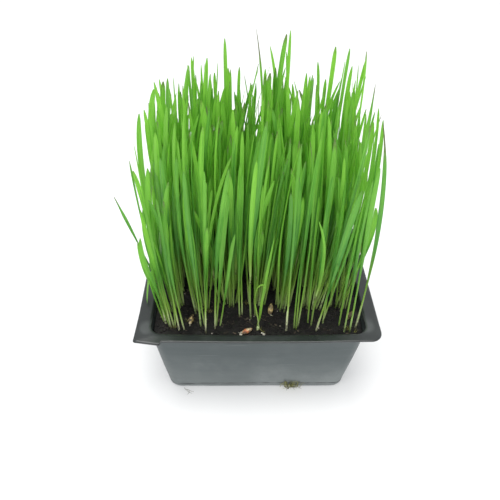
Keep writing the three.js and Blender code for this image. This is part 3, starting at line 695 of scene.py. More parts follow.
# Shoots of the frame that are dressed one by one: where each stands and what differs
SINGLED_OUT = [
    ((-56.0, -28.5), dict(width=2.2, pinch=0.6, blunt_from=0.86, stray=True, cool=1.0, pull=(-0.8, 0))),
    ((60.8, -47.3), dict(width=3.5, stem_end=0.26, blunt_from=0.4, stray=True, pale=0.8, facing=0.1, twist=0.5)),
    ((52.8, -32.5), dict(width=3.4, stem_end=0.34, facing=0.0, twist=0.2)),
    ((-48.8, -48.6), dict(pale=1.3)),
    ((-33.0, -51.0), dict(pale=1.3)),
    ((-27.6, -48.0), dict(pale=0.8)),
    ((17.6, -49.0), dict(pale=1.1)),
    ((35.0, -50.0), dict(pale=1.0)),
    ((57.0, -50.4), dict(width=2.6, stem_end=0.36, pull=(-4.2, 0))),
    ((58.6, -29.6), dict(width=2.4, stem_end=0.4, pull=(-4.2, 0))),
    ((-38.2, 46.5), dict(top=188)),
    ((-39.1, 44.3), dict(top=187)),
    ((-39.0, 19.5), dict(top=188.5)),
    ((-58.4, 17.8), dict(top=184)),
    ((-54.4, 32.1), dict(top=185)),
    ((-54.3, 48.1), dict(top=176)),
    ((0.1, 44.9), dict(pull=(4.2, 0))),
]
# Tall leaves at the edges that only the scene has: root, lean, bend, top, width and a dry tip or none
EDGE_SHOOTS = [
    ((-59, -14), (-11.5, 0), (4.5, 0), 182.5, 3.2, False),
    ((-55, -14), (-1.5, 0), (-5.5, 0), 182, 2.8, False),
    ((-47, 2), (-3, -2), (-7.4, 0), 194, 2.7, False),
    ((57, 8), (4.5, 2), (1.3, 0), 190.5, 2.7, True),
    ((58.5, 6), (2, 3), (6.9, 1), 172.5, 1.9, True),
]


def lean_at(share):
    return 1 - (1 - share) ** LEAN_POWER


def width_at(share, width, stem_end):
    opened = smoothstep(0, 1, (share - stem_end) / OPENING_SHARE)
    taper = np.maximum(0, (share - TAPER_FROM) / (1 - TAPER_FROM))
    return (STEM_WIDTH + (width - STEM_WIDTH) * opened) * (1 - taper**TAPER_POWER)


def opening(blade, share):
    return smoothstep(blade["stem_end"], blade["stem_end"] + OPENING_SHARE, share)


def leaf_width(blade, share):
    """A leaf's width: a thin stem, a blade with nearly parallel sides and a blunt tip."""
    broad = THIN_STEM + (blade["width"] - THIN_STEM) * opening(blade, share)
    blunt_from = blade["blunt_from"]
    taper = np.maximum(0, (share - blunt_from) / (1 - blunt_from))
    pinch = 1 - blade["pinch"] * np.exp(-(((share - PINCH_AT) / PINCH_RUN) ** 2))
    if blade["stray"]:
        pinch *= 1 - 0.5 * smoothstep(*SHRIVELLED, share)
    return float(broad * pinch * np.sqrt(1 - taper**BLUNT_POWER))


def mesh_graph(obj):
    """A node's points in millimetres, merged where they meet, and each one's neighbours."""
    places, numbers, ids = [], {}, []
    for vertex in obj.data.vertices:
        key = tuple(round(c * 1e6) for c in vertex.co)
        if key not in numbers:
            numbers[key] = len(places)
            places.append([c / MM for c in vertex.co])
        ids.append(numbers[key])
    near = [set() for _ in places]
    for polygon in obj.data.polygons:
        loop = [ids[i] for i in polygon.vertices]
        for a, b in zip(loop, loop[1:] + loop[:1]):
            near[a].add(b)
            near[b].add(a)
    return np.array(places), near


def ring_facts(ring):
    """Middle, width and facing of a three-sided ring, from its two edges and its keel."""
    best = None
    for k in range(3):
        left, right, keel = ring[(k + 1) % 3], ring[(k + 2) % 3], ring[k]
        middle = (left + right) / 2
        out, across = (keel - middle)[:2], (right - left)[:2]
        miss = abs(np.linalg.norm(out) - BLADE_THICK) + abs(out @ across) / np.linalg.norm(across)
        if best is None or miss < best[0]:
            if across[0] * out[1] - across[1] * out[0] < 0:
                across = -across
            best = (miss, middle, np.linalg.norm(across), math.atan2(across[1], across[0]))
    return best[1:]


def walk_down(points, near, tip):
    """The rings below a blade's tip, and the points under the last of them."""
    rings, current, level = [], {tip}, points[tip][2]
    while True:
        low = {j for i in current for j in near[i] if points[j][2] < level - 1}
        heights = [points[j][2] for j in low]
        if len(low) != 3 or max(heights) - min(heights) > 0.01:
            return rings, low
        rings.append(points[sorted(low)])
        current, level = low, min(heights)


def blade_from(points, near, tip):
    """A blade's numbers, worked back from the rings of its solid in the frame."""
    rings, low = walk_down(points, near, tip)
    top, step = points[tip][2], points[tip][2] - rings[0][0][2]
    is_first = abs(top - step / (1 - FIRST_SHARES[0]) - ROOT_Z) < 0.5
    shares = FIRST_SHARES if is_first else SECOND_SHARES
    root_z = ROOT_Z if is_first else top - step / (1 - SECOND_SHARES[0])
    facts = [ring_facts(ring) for ring in rings[: len(shares)]]
    known = [(1.0, points[tip])] + [(share, fact[0]) for share, fact in zip(shares, facts)]
    if len(facts) < len(shares) and low:
        foot = points[sorted(low)].mean(0)
        known.append((max(0.0, (foot[2] - root_z) / (top - root_z)), foot))
    terms = np.array([(1, lean_at(share), share**BEND_POWER) for share, _ in known])
    root, lean, bend = np.linalg.lstsq(terms, np.array([p[:2] for _, p in known]), rcond=None)[0]
    angles = np.unwrap([fact[2] for fact in facts])
    twist, facing = np.polyfit(shares[: len(facts)], angles, 1) if len(facts) > 1 else (0.0, angles[0])
    stem_end = STEM_END if is_first else 0
    which = 1 if is_first and len(facts) > 1 else 0
    unit = width_at(shares[which], 100.0, stem_end) / 100
    blade = dict(root=np.array((*root, root_z)), lean=lean, bend=bend, top=top, stem_end=stem_end)
    return blade | dict(facing=facing, twist=twist, width=max(2.0, facts[which][1] / unit), is_first=is_first)


def blades_of(name):
    points, near = mesh_graph(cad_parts[name])
    tips = [i for i in range(len(points)) if all(points[j][2] < points[i][2] - TIP_DROP for j in near[i])]
    return [blade_from(points, near, tip) for tip in tips]


def middle_at(blade, share):
    flat = blade["root"][:2] + blade["lean"] * lean_at(share) + blade["bend"] * share**BEND_POWER
    return np.array((*flat, blade["root"][2] + (blade["top"] - blade["root"][2]) * share))


def gutter(across, arc, width):
    """A leaf's section, bent round an arc: how far to the side and how deep each point lies."""
    radius = width / 2 if arc >= math.pi else width / 2 / math.sin(arc / 2)
    bends = across * arc / 2
    return radius * np.sin(bends), radius * (np.cos(bends) - math.cos(arc / 2))


def leaf_looks(rand, blade):
    """Colour of one leaf: how bright, how bluish and how dry its tip is, and how pale its foot."""
    y = blade["root"][1]
    front = 1 - ease(*FRONT_FADE, y)
    cool = max(0.0, rand.gauss(0.04 + 0.5 * front, 0.34))
    pale = rand.uniform(0, 0.35) + (0.5 * front if rand.random() < PALE_SHARE else 0)
    # leaves further back are brighter: painted light
    tone = 0.85 * rand.random() + 0.22 * ease(*LIGHT_FADE, y)
    dry = rand.uniform(0.16, 0.42) if rand.random() < DRY_SHARE else rand.uniform(0, 0.08)
    if blade["stray"]:
        dry = 1.2 if blade["top"] > TALL else 0.6
    return dict(tone=tone, cool=blade.get("cool", cool), pale=blade.get("pale", pale), dry=dry)


def add_leaf(pile, rand, blade, looks=None, grid=SLIM_GRID, start=0.0):
    """A leaf: rolled round its stem low down, opening to a shallow gutter and drawn to a tip.

    Its foot has the colours that other leaves have at `start`, a share of their length.
    """
    looks = looks or leaf_looks(rand, blade)
    rows, columns = grid
    steps = np.linspace(0, 1, rows)
    shares = TIP_SHARE * (steps + 0.16 * np.sin(np.pi * steps) * steps)  # closer together towards the tip
    across = np.linspace(-1, 1, columns)
    phase, wave = rand.uniform(0, 6.28), rand.uniform(0.05, 0.22)
    hook, sway, pace = rand.gauss(0, 1.6), rand.gauss(0, 0.8), rand.uniform(3, 7)
    flat = FLAT * rand.uniform(0.6, 1.7)
    points = []
    for share in shares:
        angle = blade["facing"] + blade["twist"] * share
        side = toward(angle, 0)
        keel = np.array((-side[1], side[0], 0))
        opened = float(opening(blade, share))
        width = leaf_width(blade, share)
        aside, depth = gutter(across, ROLLED + (flat - ROLLED) * opened**0.7, width)
        depth = depth - 0.3 * (1 - opened)
        depth = depth + opened * wave * np.sin(9 * share + phase) * across**2
        depth = depth + FOLD * opened * (1 - np.abs(across)) * width
        place = middle_at(blade, share) + side * (hook * share**7 + sway * share * np.sin(pace * share + phase))
        points.append(place + np.outer(aside, side) + np.outer(depth, keel))
    tip = middle_at(blade, 1.0) + side * (hook + sway * math.sin(pace + phase))
    points = np.concatenate(points + [tip[None]])
    faces = grid_faces(rows, columns)
    last = (rows - 1) * columns
    faces += [(last + j, last + j + 1, len(points) - 1) for j in range(columns - 1)]
    along = start + (1 - start) * np.append(np.repeat(shares, columns), 1.0)
    pile.add(points, faces, looks, along=along, across=np.append(np.tile(across, rows), 0.0))


def add_sheath(pile, rand, blade, looks):
    """The pale sheath that a leaf grows from: a thin tube with a slanting open end."""
    end = rand.uniform(0.12, 0.22)
    facing = blade["facing"] + rand.uniform(-0.6, 0.6)
    points, along = [], []
    for part in np.arange(SHEATH_ROWS) / (SHEATH_ROWS - 1):
        for angle in FULL_TURN * np.arange(SHEATH_SIDES) / SHEATH_SIDES:
            share = SHEATH_START + (end - SHEATH_START) * part * (1 - 0.28 * (0.5 + 0.5 * math.cos(angle)))
            keel = blade["facing"] + blade["twist"] * share + math.pi / 2
            middle = middle_at(blade, share) + 0.4 * toward(keel, 0)
            points.append(middle + (SHEATH_RADIUS - 0.06 * part) * toward(facing + angle, 0))
            along.append(share * 0.75)
    faces = grid_faces(SHEATH_ROWS, SHEATH_SIDES, closed=True)
    pile.add(points, faces, looks, along=along, across=0.0, dry=0.0)


def young_leaf(rand, blade):
    """A thin new leaf, still half rolled, that rises out of the fold of an older one."""
    root = middle_at(blade, rand.uniform(0.22, 0.4))
    aim = middle_at(blade, rand.uniform(0.5, 0.92))
    turn = blade["facing"] - math.pi / 2 + rand.uniform(-0.9, 0.9)
    away = rand.uniform(1.5, 5.5) * toward(turn)
    young = dict(root=root, top=aim[2], stem_end=0.25, facing=blade["facing"] + rand.uniform(-0.5, 0.5))
    young |= dict(twist=rand.uniform(-0.8, 0.8), width=rand.uniform(1.8, 2.8))
    young |= dict(stray=False, pinch=0.0, blunt_from=0.8)
    return young | dict(lean=(aim - root)[:2] * 0.8, bend=(aim - root)[:2] * 0.2 + away)


def dressed(rand, blade, later):
    """A blade of the frame with a real leaf's width, tip and length of stem."""
    x, y = blade["root"][:2]
    stray = blade["is_first"] and blade["width"] < STRAY_WIDTH
    slim = STRAY_SLIM if stray else rand.uniform(*SLIM_RANGE)
    shape = dict(stray=stray, width=blade["width"] * slim, pinch=0.5 if stray else 0.0)
    by_hand = {}
    for place, looks in SINGLED_OUT:
        if blade["is_first"] and np.linalg.norm(blade["root"][:2] - place) < SAME_PLACE:
            by_hand = looks
    if x > RIGHT_EDGE:
        shape["width"] = RIGHT_SLIM * shape["width"]
        if y < RIGHT_FRONT and blade["lean"][0] > 2 and not by_hand:
            shape["lean"] = blade["lean"] - (RIGHT_IN, 0)
    stem_end = blade["stem_end"] + (later + rand.uniform(-0.05, 0.08)) * blade["is_first"]
    shape |= dict(stem_end=stem_end, blunt_from=rand.uniform(0.74, 0.92)) | by_hand
    lean = shape.get("lean", blade["lean"]) + np.array(shape.get("pull", (0, 0)))
    return blade | shape | dict(lean=lean)


def kept_inside(blade):
    """The blade, leaning no further out than the frame's own do."""
    tip = blade["root"][:2] + (blade["lean"] + blade["bend"])
    return blade | dict(lean=blade["lean"] + np.clip(tip, TIPS_LOW, TIPS_HIGH) - tip)


def companion(rand, blade, reaches):
    """A thinner shoot that stands close to a shoot of the frame, on its inner side."""
    around, reach = rand.uniform(0, FULL_TURN), rand.uniform(*reaches)
    offset = np.abs(reach * toward(around)) * -np.sign(blade["root"][:2])
    root = blade["root"] + np.array((*offset, 0))
    height = (blade["top"] - ROOT_Z) * rand.uniform(0.7, 0.98)
    drift = np.array((rand.gauss(0, 2.8), rand.gauss(0, 2.2)))
    if root[0] < LEFT_EDGE:
        drift[0] += rand.uniform(-3, 1)
    elif root[0] > -LEFT_EDGE:
        drift[0] -= rand.uniform(0, 4)
    facing = blade["facing"] + rand.gauss(0, 0.7)
    near = dict(root=root, top=ROOT_Z + height, facing=facing, width=rand.uniform(1.7, 3.0))
    arch = rand.uniform(6, 13) if rand.random() < ARCHED_SHARE else 0
    over = arch * toward(rand.uniform(0, FULL_TURN))
    near |= dict(lean=blade["lean"] * rand.uniform(0.6, 1.0) + drift - over / 3)
    near |= dict(bend=blade["bend"] * rand.uniform(0.2, 1.0) + over)
    near |= dict(blunt_from=rand.uniform(0.72, 0.92), stray=False, pinch=0.0)
    plain = {key: value for key, value in blade.items() if key not in ("pale", "cool")}
    return kept_inside(plain | near)


def add_companions(pile, rand, blade, row):
    """The thinner shoots by a shoot, and low ones too where it stands at the left edge."""
    x, y, _ = blade["root"]
    more = COMPANIONS[row] + (1 if x < LEFT_EDGE else 0)
    more -= 1 if x > RIGHT_EDGE or "pale" in blade else 0
    at_left = blade["is_first"] and blade["lean"][0] > UPRIGHT and x < FAR_LEFT and y < LEFT_BACK
    for lean_out in LOW_LEANS if at_left else ():
        low = companion(rand, blade, (0.5, 2.0))
        low |= dict(top=ROOT_Z + (low["top"] - ROOT_Z) * rand.uniform(*LOW_HEIGHTS), width=LOW_WIDTH)
        low |= dict(lean=blade["lean"] - (lean_out + rand.gauss(0, 1), 0), bend=blade["bend"] * 0.3)
        add_leaf(pile, rand, kept_inside(low))
    for _ in range(int(more + rand.random()) if blade["is_first"] and not blade["stray"] else 0):
        add_leaf(pile, rand, companion(rand, blade, REACHES[row]))


def add_roots(pile, rand, blades):
    """Short pale roots under a clump, which leave the stems and run out into the soil."""
    for blade in [blade for blade in blades if blade["is_first"]][:ROOTLETS]:
        x, y, z = middle_at(blade, 0.03)
        heading = rand.uniform(0, FULL_TURN)
        path = wander(rand, (x, y, 0), heading, rand.uniform(2.5, 5), 6, 0.4)
        path[:, 2] = z - np.linspace(0, 1, len(path)) ** 0.7 * rand.uniform(2, 5)
        pile.add(*tube(path, np.linspace(0.28, 0.1, len(path)), 5), PALE_TUBE)


def add_clump(name, material, index):
    rand = random.Random(100 + index)
    pile = Pile(*LEAF_VALUES)
    row = 0 if index < FRONT_CLUMPS else 1 if index < FRONT_CLUMPS + SECOND_CLUMPS else 2
    blades = [dressed(rand, blade, 0.02 if row else 0.07) for blade in blades_of(name)]
    for blade in blades:
        add_companions(pile, rand, blade, row)
    for blade in blades:
        looks = leaf_looks(rand, blade)
        add_leaf(pile, rand, blade, looks, FULL_GRID)
        if blade["is_first"] and rand.random() < SHEATH_SHARE:
            add_sheath(pile, rand, blade, looks)
            if rand.random() < YOUNG_SHARE:
                young = young_leaf(rand, blade)
                add_leaf(pile, rand, young, leaf_looks(rand, young) | dict(pale=0.0), start=0.3)
    add_roots(pile, rand, blades)
    pile.piece(name.replace("clump", "grass"), material, "grass", [name])
    return [middle_at(blade, SOIL_SHARE)[:2] for blade in blades if blade["is_first"]]


def add_edge_shoots(material):
    rand = random.Random(67)
    pile = Pile(*LEAF_VALUES)
    for root, lean, bend, top, width, stray in EDGE_SHOOTS:
        blade = dict(root=np.array((*root, ROOT_Z)), lean=np.array(lean), bend=np.array(bend), top=top, width=width)
        blade |= dict(stem_end=0.3, facing=0.2, twist=0.3, stray=stray, pinch=0.0, blunt_from=0.8)
        add_leaf(pile, rand, blade, grid=FULL_GRID)
    pile.piece("edge_shoots", material, "grass")


# ---- the seedling, and a leaf over the rim ----

SEEDLING_SPOT = (-0.5, -48.8, 0)
CURLED_LEAF = [(1.0, 0, 48), (0.8, 0, 57), (-0.2, -0.2, 66), (-1.4, -0.3, 74), (-2.5, -0.5, 82)]
CURLED_LEAF += [(-1.6, -1, 92), (1.6, -1.4, 95.5), (4, -1.6, 91)]
UPRIGHT_LEAF = [(-0.7, 0.3, 48), (-0.5, 0.3, 57), (0.7, 0.3, 66), (1.8, 0.2, 82), (4.1, 0, 106), (6.8, -0.6, 131)]
SEEDLING_FOOT = [(48.5, 0.9), (51, 1.1), (53.5, 1.15), (56, 1.0), (58.5, 0.8)]  # heights and radii
STRAY_LEAF = [(-62.6, -21, 54), (-64.6, -20.5, 68), (-66.6, -20.5, 77.5), (-69.2, -21.6, 76.6)]
STRAY_LEAF += [(-70.9, -23.8, 70.5), (-71.5, -27, 65), (-71, -32, 61.6)]
CURLED_ROWS = 34
CURLED_COLUMNS = 7


def smooth_path(points, count):
    """A smooth line through points (Catmull-Rom), with `count` points of its own."""
    points = np.asarray(points, float)
    padded = np.vstack((2 * points[0] - points[1], points, 2 * points[-1] - points[-2]))
    path = []
    for t in np.linspace(0, len(points) - 1, count):
        i = min(int(t), len(points) - 2)
        u = t - i
        p0, p1, p2, p3 = padded[i : i + 4]
        a, b = 2 * p0 - 5 * p1 + 4 * p2 - p3, -p0 + 3 * p1 - 3 * p2 + p3
        path.append(0.5 * (2 * p1 + (p2 - p0) * u + a * u * u + b * u**3))
    return np.array(path)


def add_curled_leaf(pile, path, side, width, rolled, looks, start=0.0, reach=1.0):
    """A leaf along a path, rolled by one angle low down and by another higher up."""
    across = np.linspace(-1, 1, CURLED_COLUMNS)
    points = []
    for k, (place, forward) in enumerate(zip(path, directions(path))):
        share = k / (CURLED_ROWS - 1)
        out = np.cross(forward, side)
        out /= np.linalg.norm(out)
        arc = math.radians(rolled[0] + (rolled[1] - rolled[0]) * ease(0.2, 0.7, share))
        wide = width * (0.5 + 0.5 * ease(0.15, 0.6, share)) * max(0.04, 1 - max(0, (share - 0.72) / 0.28) ** 2.2)
        aside, depth = gutter(across, arc, wide)
        points.append(place + np.outer(aside, np.cross(out, forward)) + np.outer(depth - wide * 0.12, out))
    along = start + reach * np.repeat(np.linspace(0, 1, CURLED_ROWS), CURLED_COLUMNS)
    faces = grid_faces(CURLED_ROWS, CURLED_COLUMNS)
    pile.add(np.concatenate(points), faces, looks, along=along, across=np.tile(across, CURLED_ROWS))


def add_seedling(material):
    pile = Pile(*LEAF_VALUES)
    curled, upright = (smooth_path(way, CURLED_ROWS) + SEEDLING_SPOT for way in (CURLED_LEAF, UPRIGHT_LEAF))
    looks = dict(tone=1.0, cool=0.0, dry=0.0, pale=1.2)
    add_curled_leaf(pile, curled, (0, 1, 0), 1.2, (320, 120), looks, 0.1, 0.3)
    looks = dict(tone=1.0, cool=0.1, dry=0.0, pale=0.9)
    add_curled_leaf(pile, upright, (1, 0, 0), 1.7, (330, 110), looks, 0.06, 0.5)
    foot = [(*SEEDLING_SPOT[:2], z) for z, _ in SEEDLING_FOOT]
    pile.add(*tube(foot, [radius for _, radius in SEEDLING_FOOT], 9), PALE_TUBE, along=0.14)
    pile.piece("young_seedling", material, "grass", ["seedling"])


def add_stray_leaf(material):
    """A small soft leaf that hangs out over the left rim."""
    pile = Pile(*LEAF_VALUES)
    looks = dict(tone=0.9, cool=0.4, dry=0.1, pale=0.2)
    add_curled_leaf(pile, smooth_path(STRAY_LEAF, CURLED_ROWS), (0.35, -0.93, 0), 3.4, (200, 60), looks)
    pile.piece("rim_leaf", material, "grass")


# ---- the kernels ----

KERNEL_LENGTH = 3.6
KERNEL_WIDTH = 1.7
KERNEL_LIFT = 0.9
KERNEL_BED = 0.7
KERNEL_RINGS = 26
KERNEL_SIDES = 24
# The crease and the germ, as shares of a kernel's half width and half length
CREASE_HALF, CREASE_CUT = 0.17, 0.34
GERM_X, GERM_RUN, GERM_CUT = -0.78, 0.16, 0.16
BRUSH_HAIRS = 16
KERNEL_VALUES = ("ripe", "along", "flush", "dirt")


def kernel_points():
    """A wheat kernel along x: plump, creased underneath, with a germ at one end; the brush at the other end is
    added apart.
    """
    points = []
    for share in (np.arange(KERNEL_RINGS) + 0.5) / KERNEL_RINGS:
        x = -math.cos(math.pi * share)
        thick = (1 - x * x) ** 0.5 * (1 - 0.12 * x)
        for angle in FULL_TURN * np.arange(KERNEL_SIDES) / KERNEL_SIDES:
            y, z = math.cos(angle) * thick, math.sin(angle) * thick
            crease = math.exp(-((y / CREASE_HALF) ** 2)) * (CREASE_CUT if z < 0 else 0) * thick
            germ = GERM_CUT * math.exp(-(((x - GERM_X) / GERM_RUN) ** 2)) * (1 if z > 0 else 0)
            points.append((x, y * (1 - 0.05 * (z < 0)), z + crease - germ * thick))
    return np.array(points) * (KERNEL_LENGTH, KERNEL_WIDTH, KERNEL_WIDTH)


def posed(points, move):
    return points @ move[:3, :3].T + move[:3, 3]


def strand(path, thick, thin, sides=4):
    return tube(path, np.linspace(thick, thin, len(path)), sides)


def add_kernels(material):
    rand = random.Random(7)
    shape = kernel_points()
    faces = grid_faces(KERNEL_RINGS, KERNEL_SIDES, closed=True, capped=True)
    for number, (x, y, turn, tilt, roots, dirt) in enumerate(KERNELS, 1):
        place = Matrix.Translation((x, y, SOIL_TOP + KERNEL_LIFT + KERNEL_LENGTH * math.sin(tilt) * KERNEL_BED))
        move = np.array(place @ Matrix.Rotation(turn, 4, "Z") @ Matrix.Rotation(-tilt, 4, "Y"))
        pile = Pile(*KERNEL_VALUES)
        flush = 1.0 if number == 1 else 0.1 * rand.random()
        ripe = rand.random()
        uneven = np.array([1 + 0.04 * noise.noise(Vector(p * 0.9) + Vector((number, 0, 0))) for p in shape])
        points = posed(shape * uneven[:, None], move)
        pile.add(points, faces, ripe=ripe, along=shape[:, 0] / KERNEL_LENGTH, flush=flush, dirt=dirt)
        for _ in range(BRUSH_HAIRS):
            around, out = rand.uniform(0, FULL_TURN), rand.uniform(0, 0.4)
            start = np.array((KERNEL_LENGTH * 0.97, out * math.cos(around), out * math.sin(around)))
            end = start * (1, 1.7, 1.7) + (rand.uniform(0.25, 0.5), 0, 0)
            hair, hair_faces = tube([start, (start + end) / 2, end], [0.035, 0.03, 0.012], 4)
            pile.add(posed(hair, move), hair_faces, ripe=ripe, along=1.0, flush=0.0, dirt=dirt)
        for _ in range(roots):
            heading = rand.uniform(-0.9, 0.9) + math.pi
            path = wander(rand, (-KERNEL_LENGTH * 0.85, 0, -0.3), heading, rand.uniform(1.5, 3), 7, 0.5)
            path = posed(path, move)
            path[:, 2] += (ground_under(path) + 0.1 - path[:, 2]) * np.linspace(0, 1, len(path)) ** 0.5
            pile.add(*strand(path, 0.22, 0.08, 6), ripe=0.0, along=-1.0, flush=-1.0, dirt=0.3)
        pile.piece(f"wheat_kernel_{number:02d}", material, "grain", [f"kernel_{number:02d}"])


# ---- moss and husks ----

MOSS_X, MOSS_Y = 23.8, -51.9
MOSS_STRANDS = 56
MOSS_LUMPS = 4
MOSS_FOOT = 0.2  # above the floor
FLOOR_HAIRS = [(-49.6, -52.3, -0.8, 7.5), (-47.8, -53.6, -0.5, 5.5), (-45.6, -55.6, -2.0, 2.6)]
# Tufts: place, reach and how many strands
WISPS = [(-53, -46.6, 1.9, 34), (-52.1, -42.4, 1.6, 22), (-31.4, -33.8, 1.6, 26), (-7.1, -26.6, 1.5, 16)]
WISPS += [(-44.6, -41.6, 1.2, 10), (56.7, -48.3, 1.5, 20), (60.2, -50.4, 1.3, 7), (1.4, -50.6, 1.4, 12)]


def add_moss(material):
    """A tuft of fine dry moss caught under the foot of the front wall, and hairs on the floor."""
    rand = random.Random(53)
    pile = Pile("shade")
    for _ in range(MOSS_STRANDS):
        x = MOSS_X + rand.gauss(0, 2.4) + rand.choice((-1.8, 0, 0, 1.8))
        start = (x, MOSS_Y + rand.gauss(0, 0.4), MOSS_FOOT)
        path = wander(rand, start, rand.gauss(-1.57, 1.2), rand.uniform(1.2, 4.8), 6, 0.6)
        path[:, 2] = MOSS_FOOT + np.sin(np.linspace(0, 2.4, len(path))) * rand.uniform(1.0, 8.5)
        path[:, 1] = np.clip(path[:, 1], MOSS_Y - 3.5, MOSS_Y - 0.1 - 0.12 * path[:, 2])
        pile.add(*strand(path, 0.13, 0.05), shade=rand.random() ** 0.6)
    for _ in range(MOSS_LUMPS):
        points, faces = lump(rand, rand.uniform(0.3, 0.5), 0.6, 0.5)
        points[:, 2] = np.maximum(points[:, 2], -0.45)
        place = (MOSS_X + rand.gauss(0, 2.4), MOSS_Y - 0.4 + rand.gauss(0, 0.4), 0.5)
        pile.add(points + place, faces, shade=rand.uniform(0, 0.4))
    for x, y, heading, length in FLOOR_HAIRS:
        pile.add(*strand(wander(rand, (x, y, 0.15), heading, length, 12, 0.12), 0.13, 0.07), shade=0.3)
    pile.piece("foot_moss", material, "soil")


def add_wisps(material):
    """Tufts of old husk and moss that cling round some feet of stems."""
    rand = random.Random(61)
    pile = Pile("shade")
    for x, y, reach, count in WISPS:
        for _ in range(count):
            start = (x + rand.gauss(0, 0.45) * reach, y + rand.gauss(0, 0.35) * reach, 0)
            path = wander(rand, start, rand.uniform(0, FULL_TURN), rand.uniform(0.8, 2.6), 6, 0.8)
            rise = np.linspace(0, 1, len(path)) ** 0.8 * rand.uniform(0, 3.2)
            path[:, 2] = ground_under(path) + 0.1 + rise
            pile.add(*strand(path, 0.16, 0.05), shade=rand.random())
    pile.piece("husk_wisps", material, "soil")


# ---- materials ----

WALL_DARK = linear(56, 65, 66)
WALL_PALE = linear(63, 72, 73)
# the rim's colours are darker than the wall's: painted shade and dark reflections from the grass over the rim
RIM_PAINTED_SHADE_DARK = linear(29, 33, 33)
RIM_PAINTED_SHADE_PALE = linear(36, 40, 40)
PLASTIC_DUST_AND_BOUNCE = linear(140, 145, 144)
# painted shade for the crease above the foot
CREASE_PAINTED_SHADE = linear(38, 40, 38)
# Heights in metres over which the plastic changes: to the rim's colour, darker as painted shade; to dust and
# painted bounce light from the floor; and to the painted shade in the crease
RIM_FROM = (0.0568, 0.0586)
DUST_AND_BOUNCE_FROM = (0.040, 0.004)
CREASE_SHADE_LOW = (0.0029, 0.0034)
CREASE_SHADE_HIGH = (0.0046, 0.0039)
SOIL_DARK = linear(7, 6, 6)
SOIL_BROWN = linear(14, 12, 11)
SOIL_PALE = linear(27, 22, 19)
SOIL_FLECK = linear(88, 78, 66)
SOIL_CRUMB = linear(46, 39, 36)
LEAF_TRANSLUCENT = 0.42
LEAF_DARK = linear(62, 130, 38)
LEAF_GREEN = linear(86, 158, 48)
LEAF_BRIGHT = linear(142, 209, 76)
LEAF_COOL = linear(76, 144, 76)
LEAF_LOW = linear(172, 202, 88)
LEAF_VEIN = linear(150, 206, 92)
LEAF_THROUGH = linear(200, 255, 70)
LEAF_SPLASH = linear(60, 48, 34)
STEM_PALE = linear(238, 240, 204)
TIP_BROWN = linear(108, 108, 66)
TIP_GREY = linear(138, 142, 116)
KERNEL_PALE = linear(212, 192, 138)
KERNEL_TAN = linear(184, 162, 104)
KERNEL_BROWN = linear(130, 106, 62)
KERNEL_STREAK = linear(228, 205, 160)
KERNEL_GERM = linear(232, 222, 190)
KERNEL_CREAM = linear(232, 210, 172)
KERNEL_RED = linear(186, 76, 46)
KERNEL_ROOT = linear(226, 220, 198)
KERNEL_SMEAR = linear(38, 31, 25)


def plastic_material():
    nodes = Shading("grey_plastic")
    broad, grain = nodes.noise(14, 2.0), nodes.noise(900)
    streak = nodes.noise(60, 4.0, stretch=(0.25, 0.25, 3.0))
    height = nodes.node("SeparateXYZ", {0: nodes.node("NewGeometry", out="Position")}, "Z")
    wall = nodes.ramp(broad, (0.25, WALL_DARK), (0.75, WALL_PALE))
    # the rim darker than the wall: painted shade
    rim = nodes.ramp(broad, (0.25, RIM_PAINTED_SHADE_DARK), (0.75, RIM_PAINTED_SHADE_PALE))
    upper = nodes.spread(height, *RIM_FROM)
    colour = nodes.mix(upper, wall, rim)
    # dust, more of it towards the foot, and painted bounce light from the floor that makes the wall paler towards
    # the foot
    dust = nodes.spread(nodes.noise(45, 6.0, 0.65), 0.48, 0.75)
    low = nodes.spread(height, *DUST_AND_BOUNCE_FROM)
    cloud = nodes.vary(nodes.noise(30, stretch=(0.5, 0.5, 1.6)), 0.4, 1.0)
    # painted bounce light: the lower wall made paler, as if lit from the floor
    painted_floor_bounce = nodes.times(nodes.times(low, cloud), 0.5)
    dust_and_painted_bounce = nodes.times(dust, nodes.spread(low, 0, 1, 0.06, 0.3))
    dust_and_painted_bounce = nodes.plus(dust_and_painted_bounce, painted_floor_bounce, clamp=True)
    colour = nodes.tint(colour, PLASTIC_DUST_AND_BOUNCE, dust_and_painted_bounce)
    scuffs = nodes.spread(nodes.noise(260, 2.0, stretch=(0.12, 0.12, 1.4)), 0.66, 0.72)
    colour = nodes.tint(colour, PLASTIC_DUST_AND_BOUNCE, scuffs, 0.12)
    # painted shade in the crease above the foot
    line = nodes.times(nodes.spread(height, *CREASE_SHADE_LOW), nodes.spread(height, *CREASE_SHADE_HIGH))
    broken = nodes.spread(nodes.noise(120, 4.0, stretch=(1, 1, 0.2)), 0.4, 0.62, 0.15, 0.8)
    colour = nodes.tint(colour, CREASE_PAINTED_SHADE, line, broken)
    shine = nodes.plus(nodes.vary(streak, 0.36, 0.5), nodes.times(dust_and_painted_bounce, 0.3))
    shine = nodes.maths("SUBTRACT", shine, nodes.times(upper, 0.12))
    normal = nodes.bump(broad, 0.0007, 0.35, nodes.bump(grain, 0.00004, 0.5))
    return nodes.finish(nodes.principled(colour, shine, normal))


def soil_material():
    nodes = Shading("dark_compost")
    coarse, fine = nodes.noise(260, 5.0, 0.65), nodes.noise(1500, 3.0, 0.6)
    colour = nodes.ramp(coarse, (0.3, SOIL_DARK), (0.52, SOIL_BROWN), (0.75, SOIL_PALE))
    colour = nodes.tint(colour, SOIL_FLECK, nodes.spread(fine, 0.68, 0.76), 0.4)
    colour = nodes.tint(colour, SOIL_CRUMB, nodes.attribute("shade"), 0.3)
    wet = nodes.spread(nodes.noise(90, 2.0), 0.35, 0.65, 0.62, 0.95)
    normal = nodes.bump(coarse, 0.0009, 0.7, nodes.bump(fine, 0.0003, 0.8))
    return nodes.finish(nodes.principled(colour, wet, normal, 0.35))


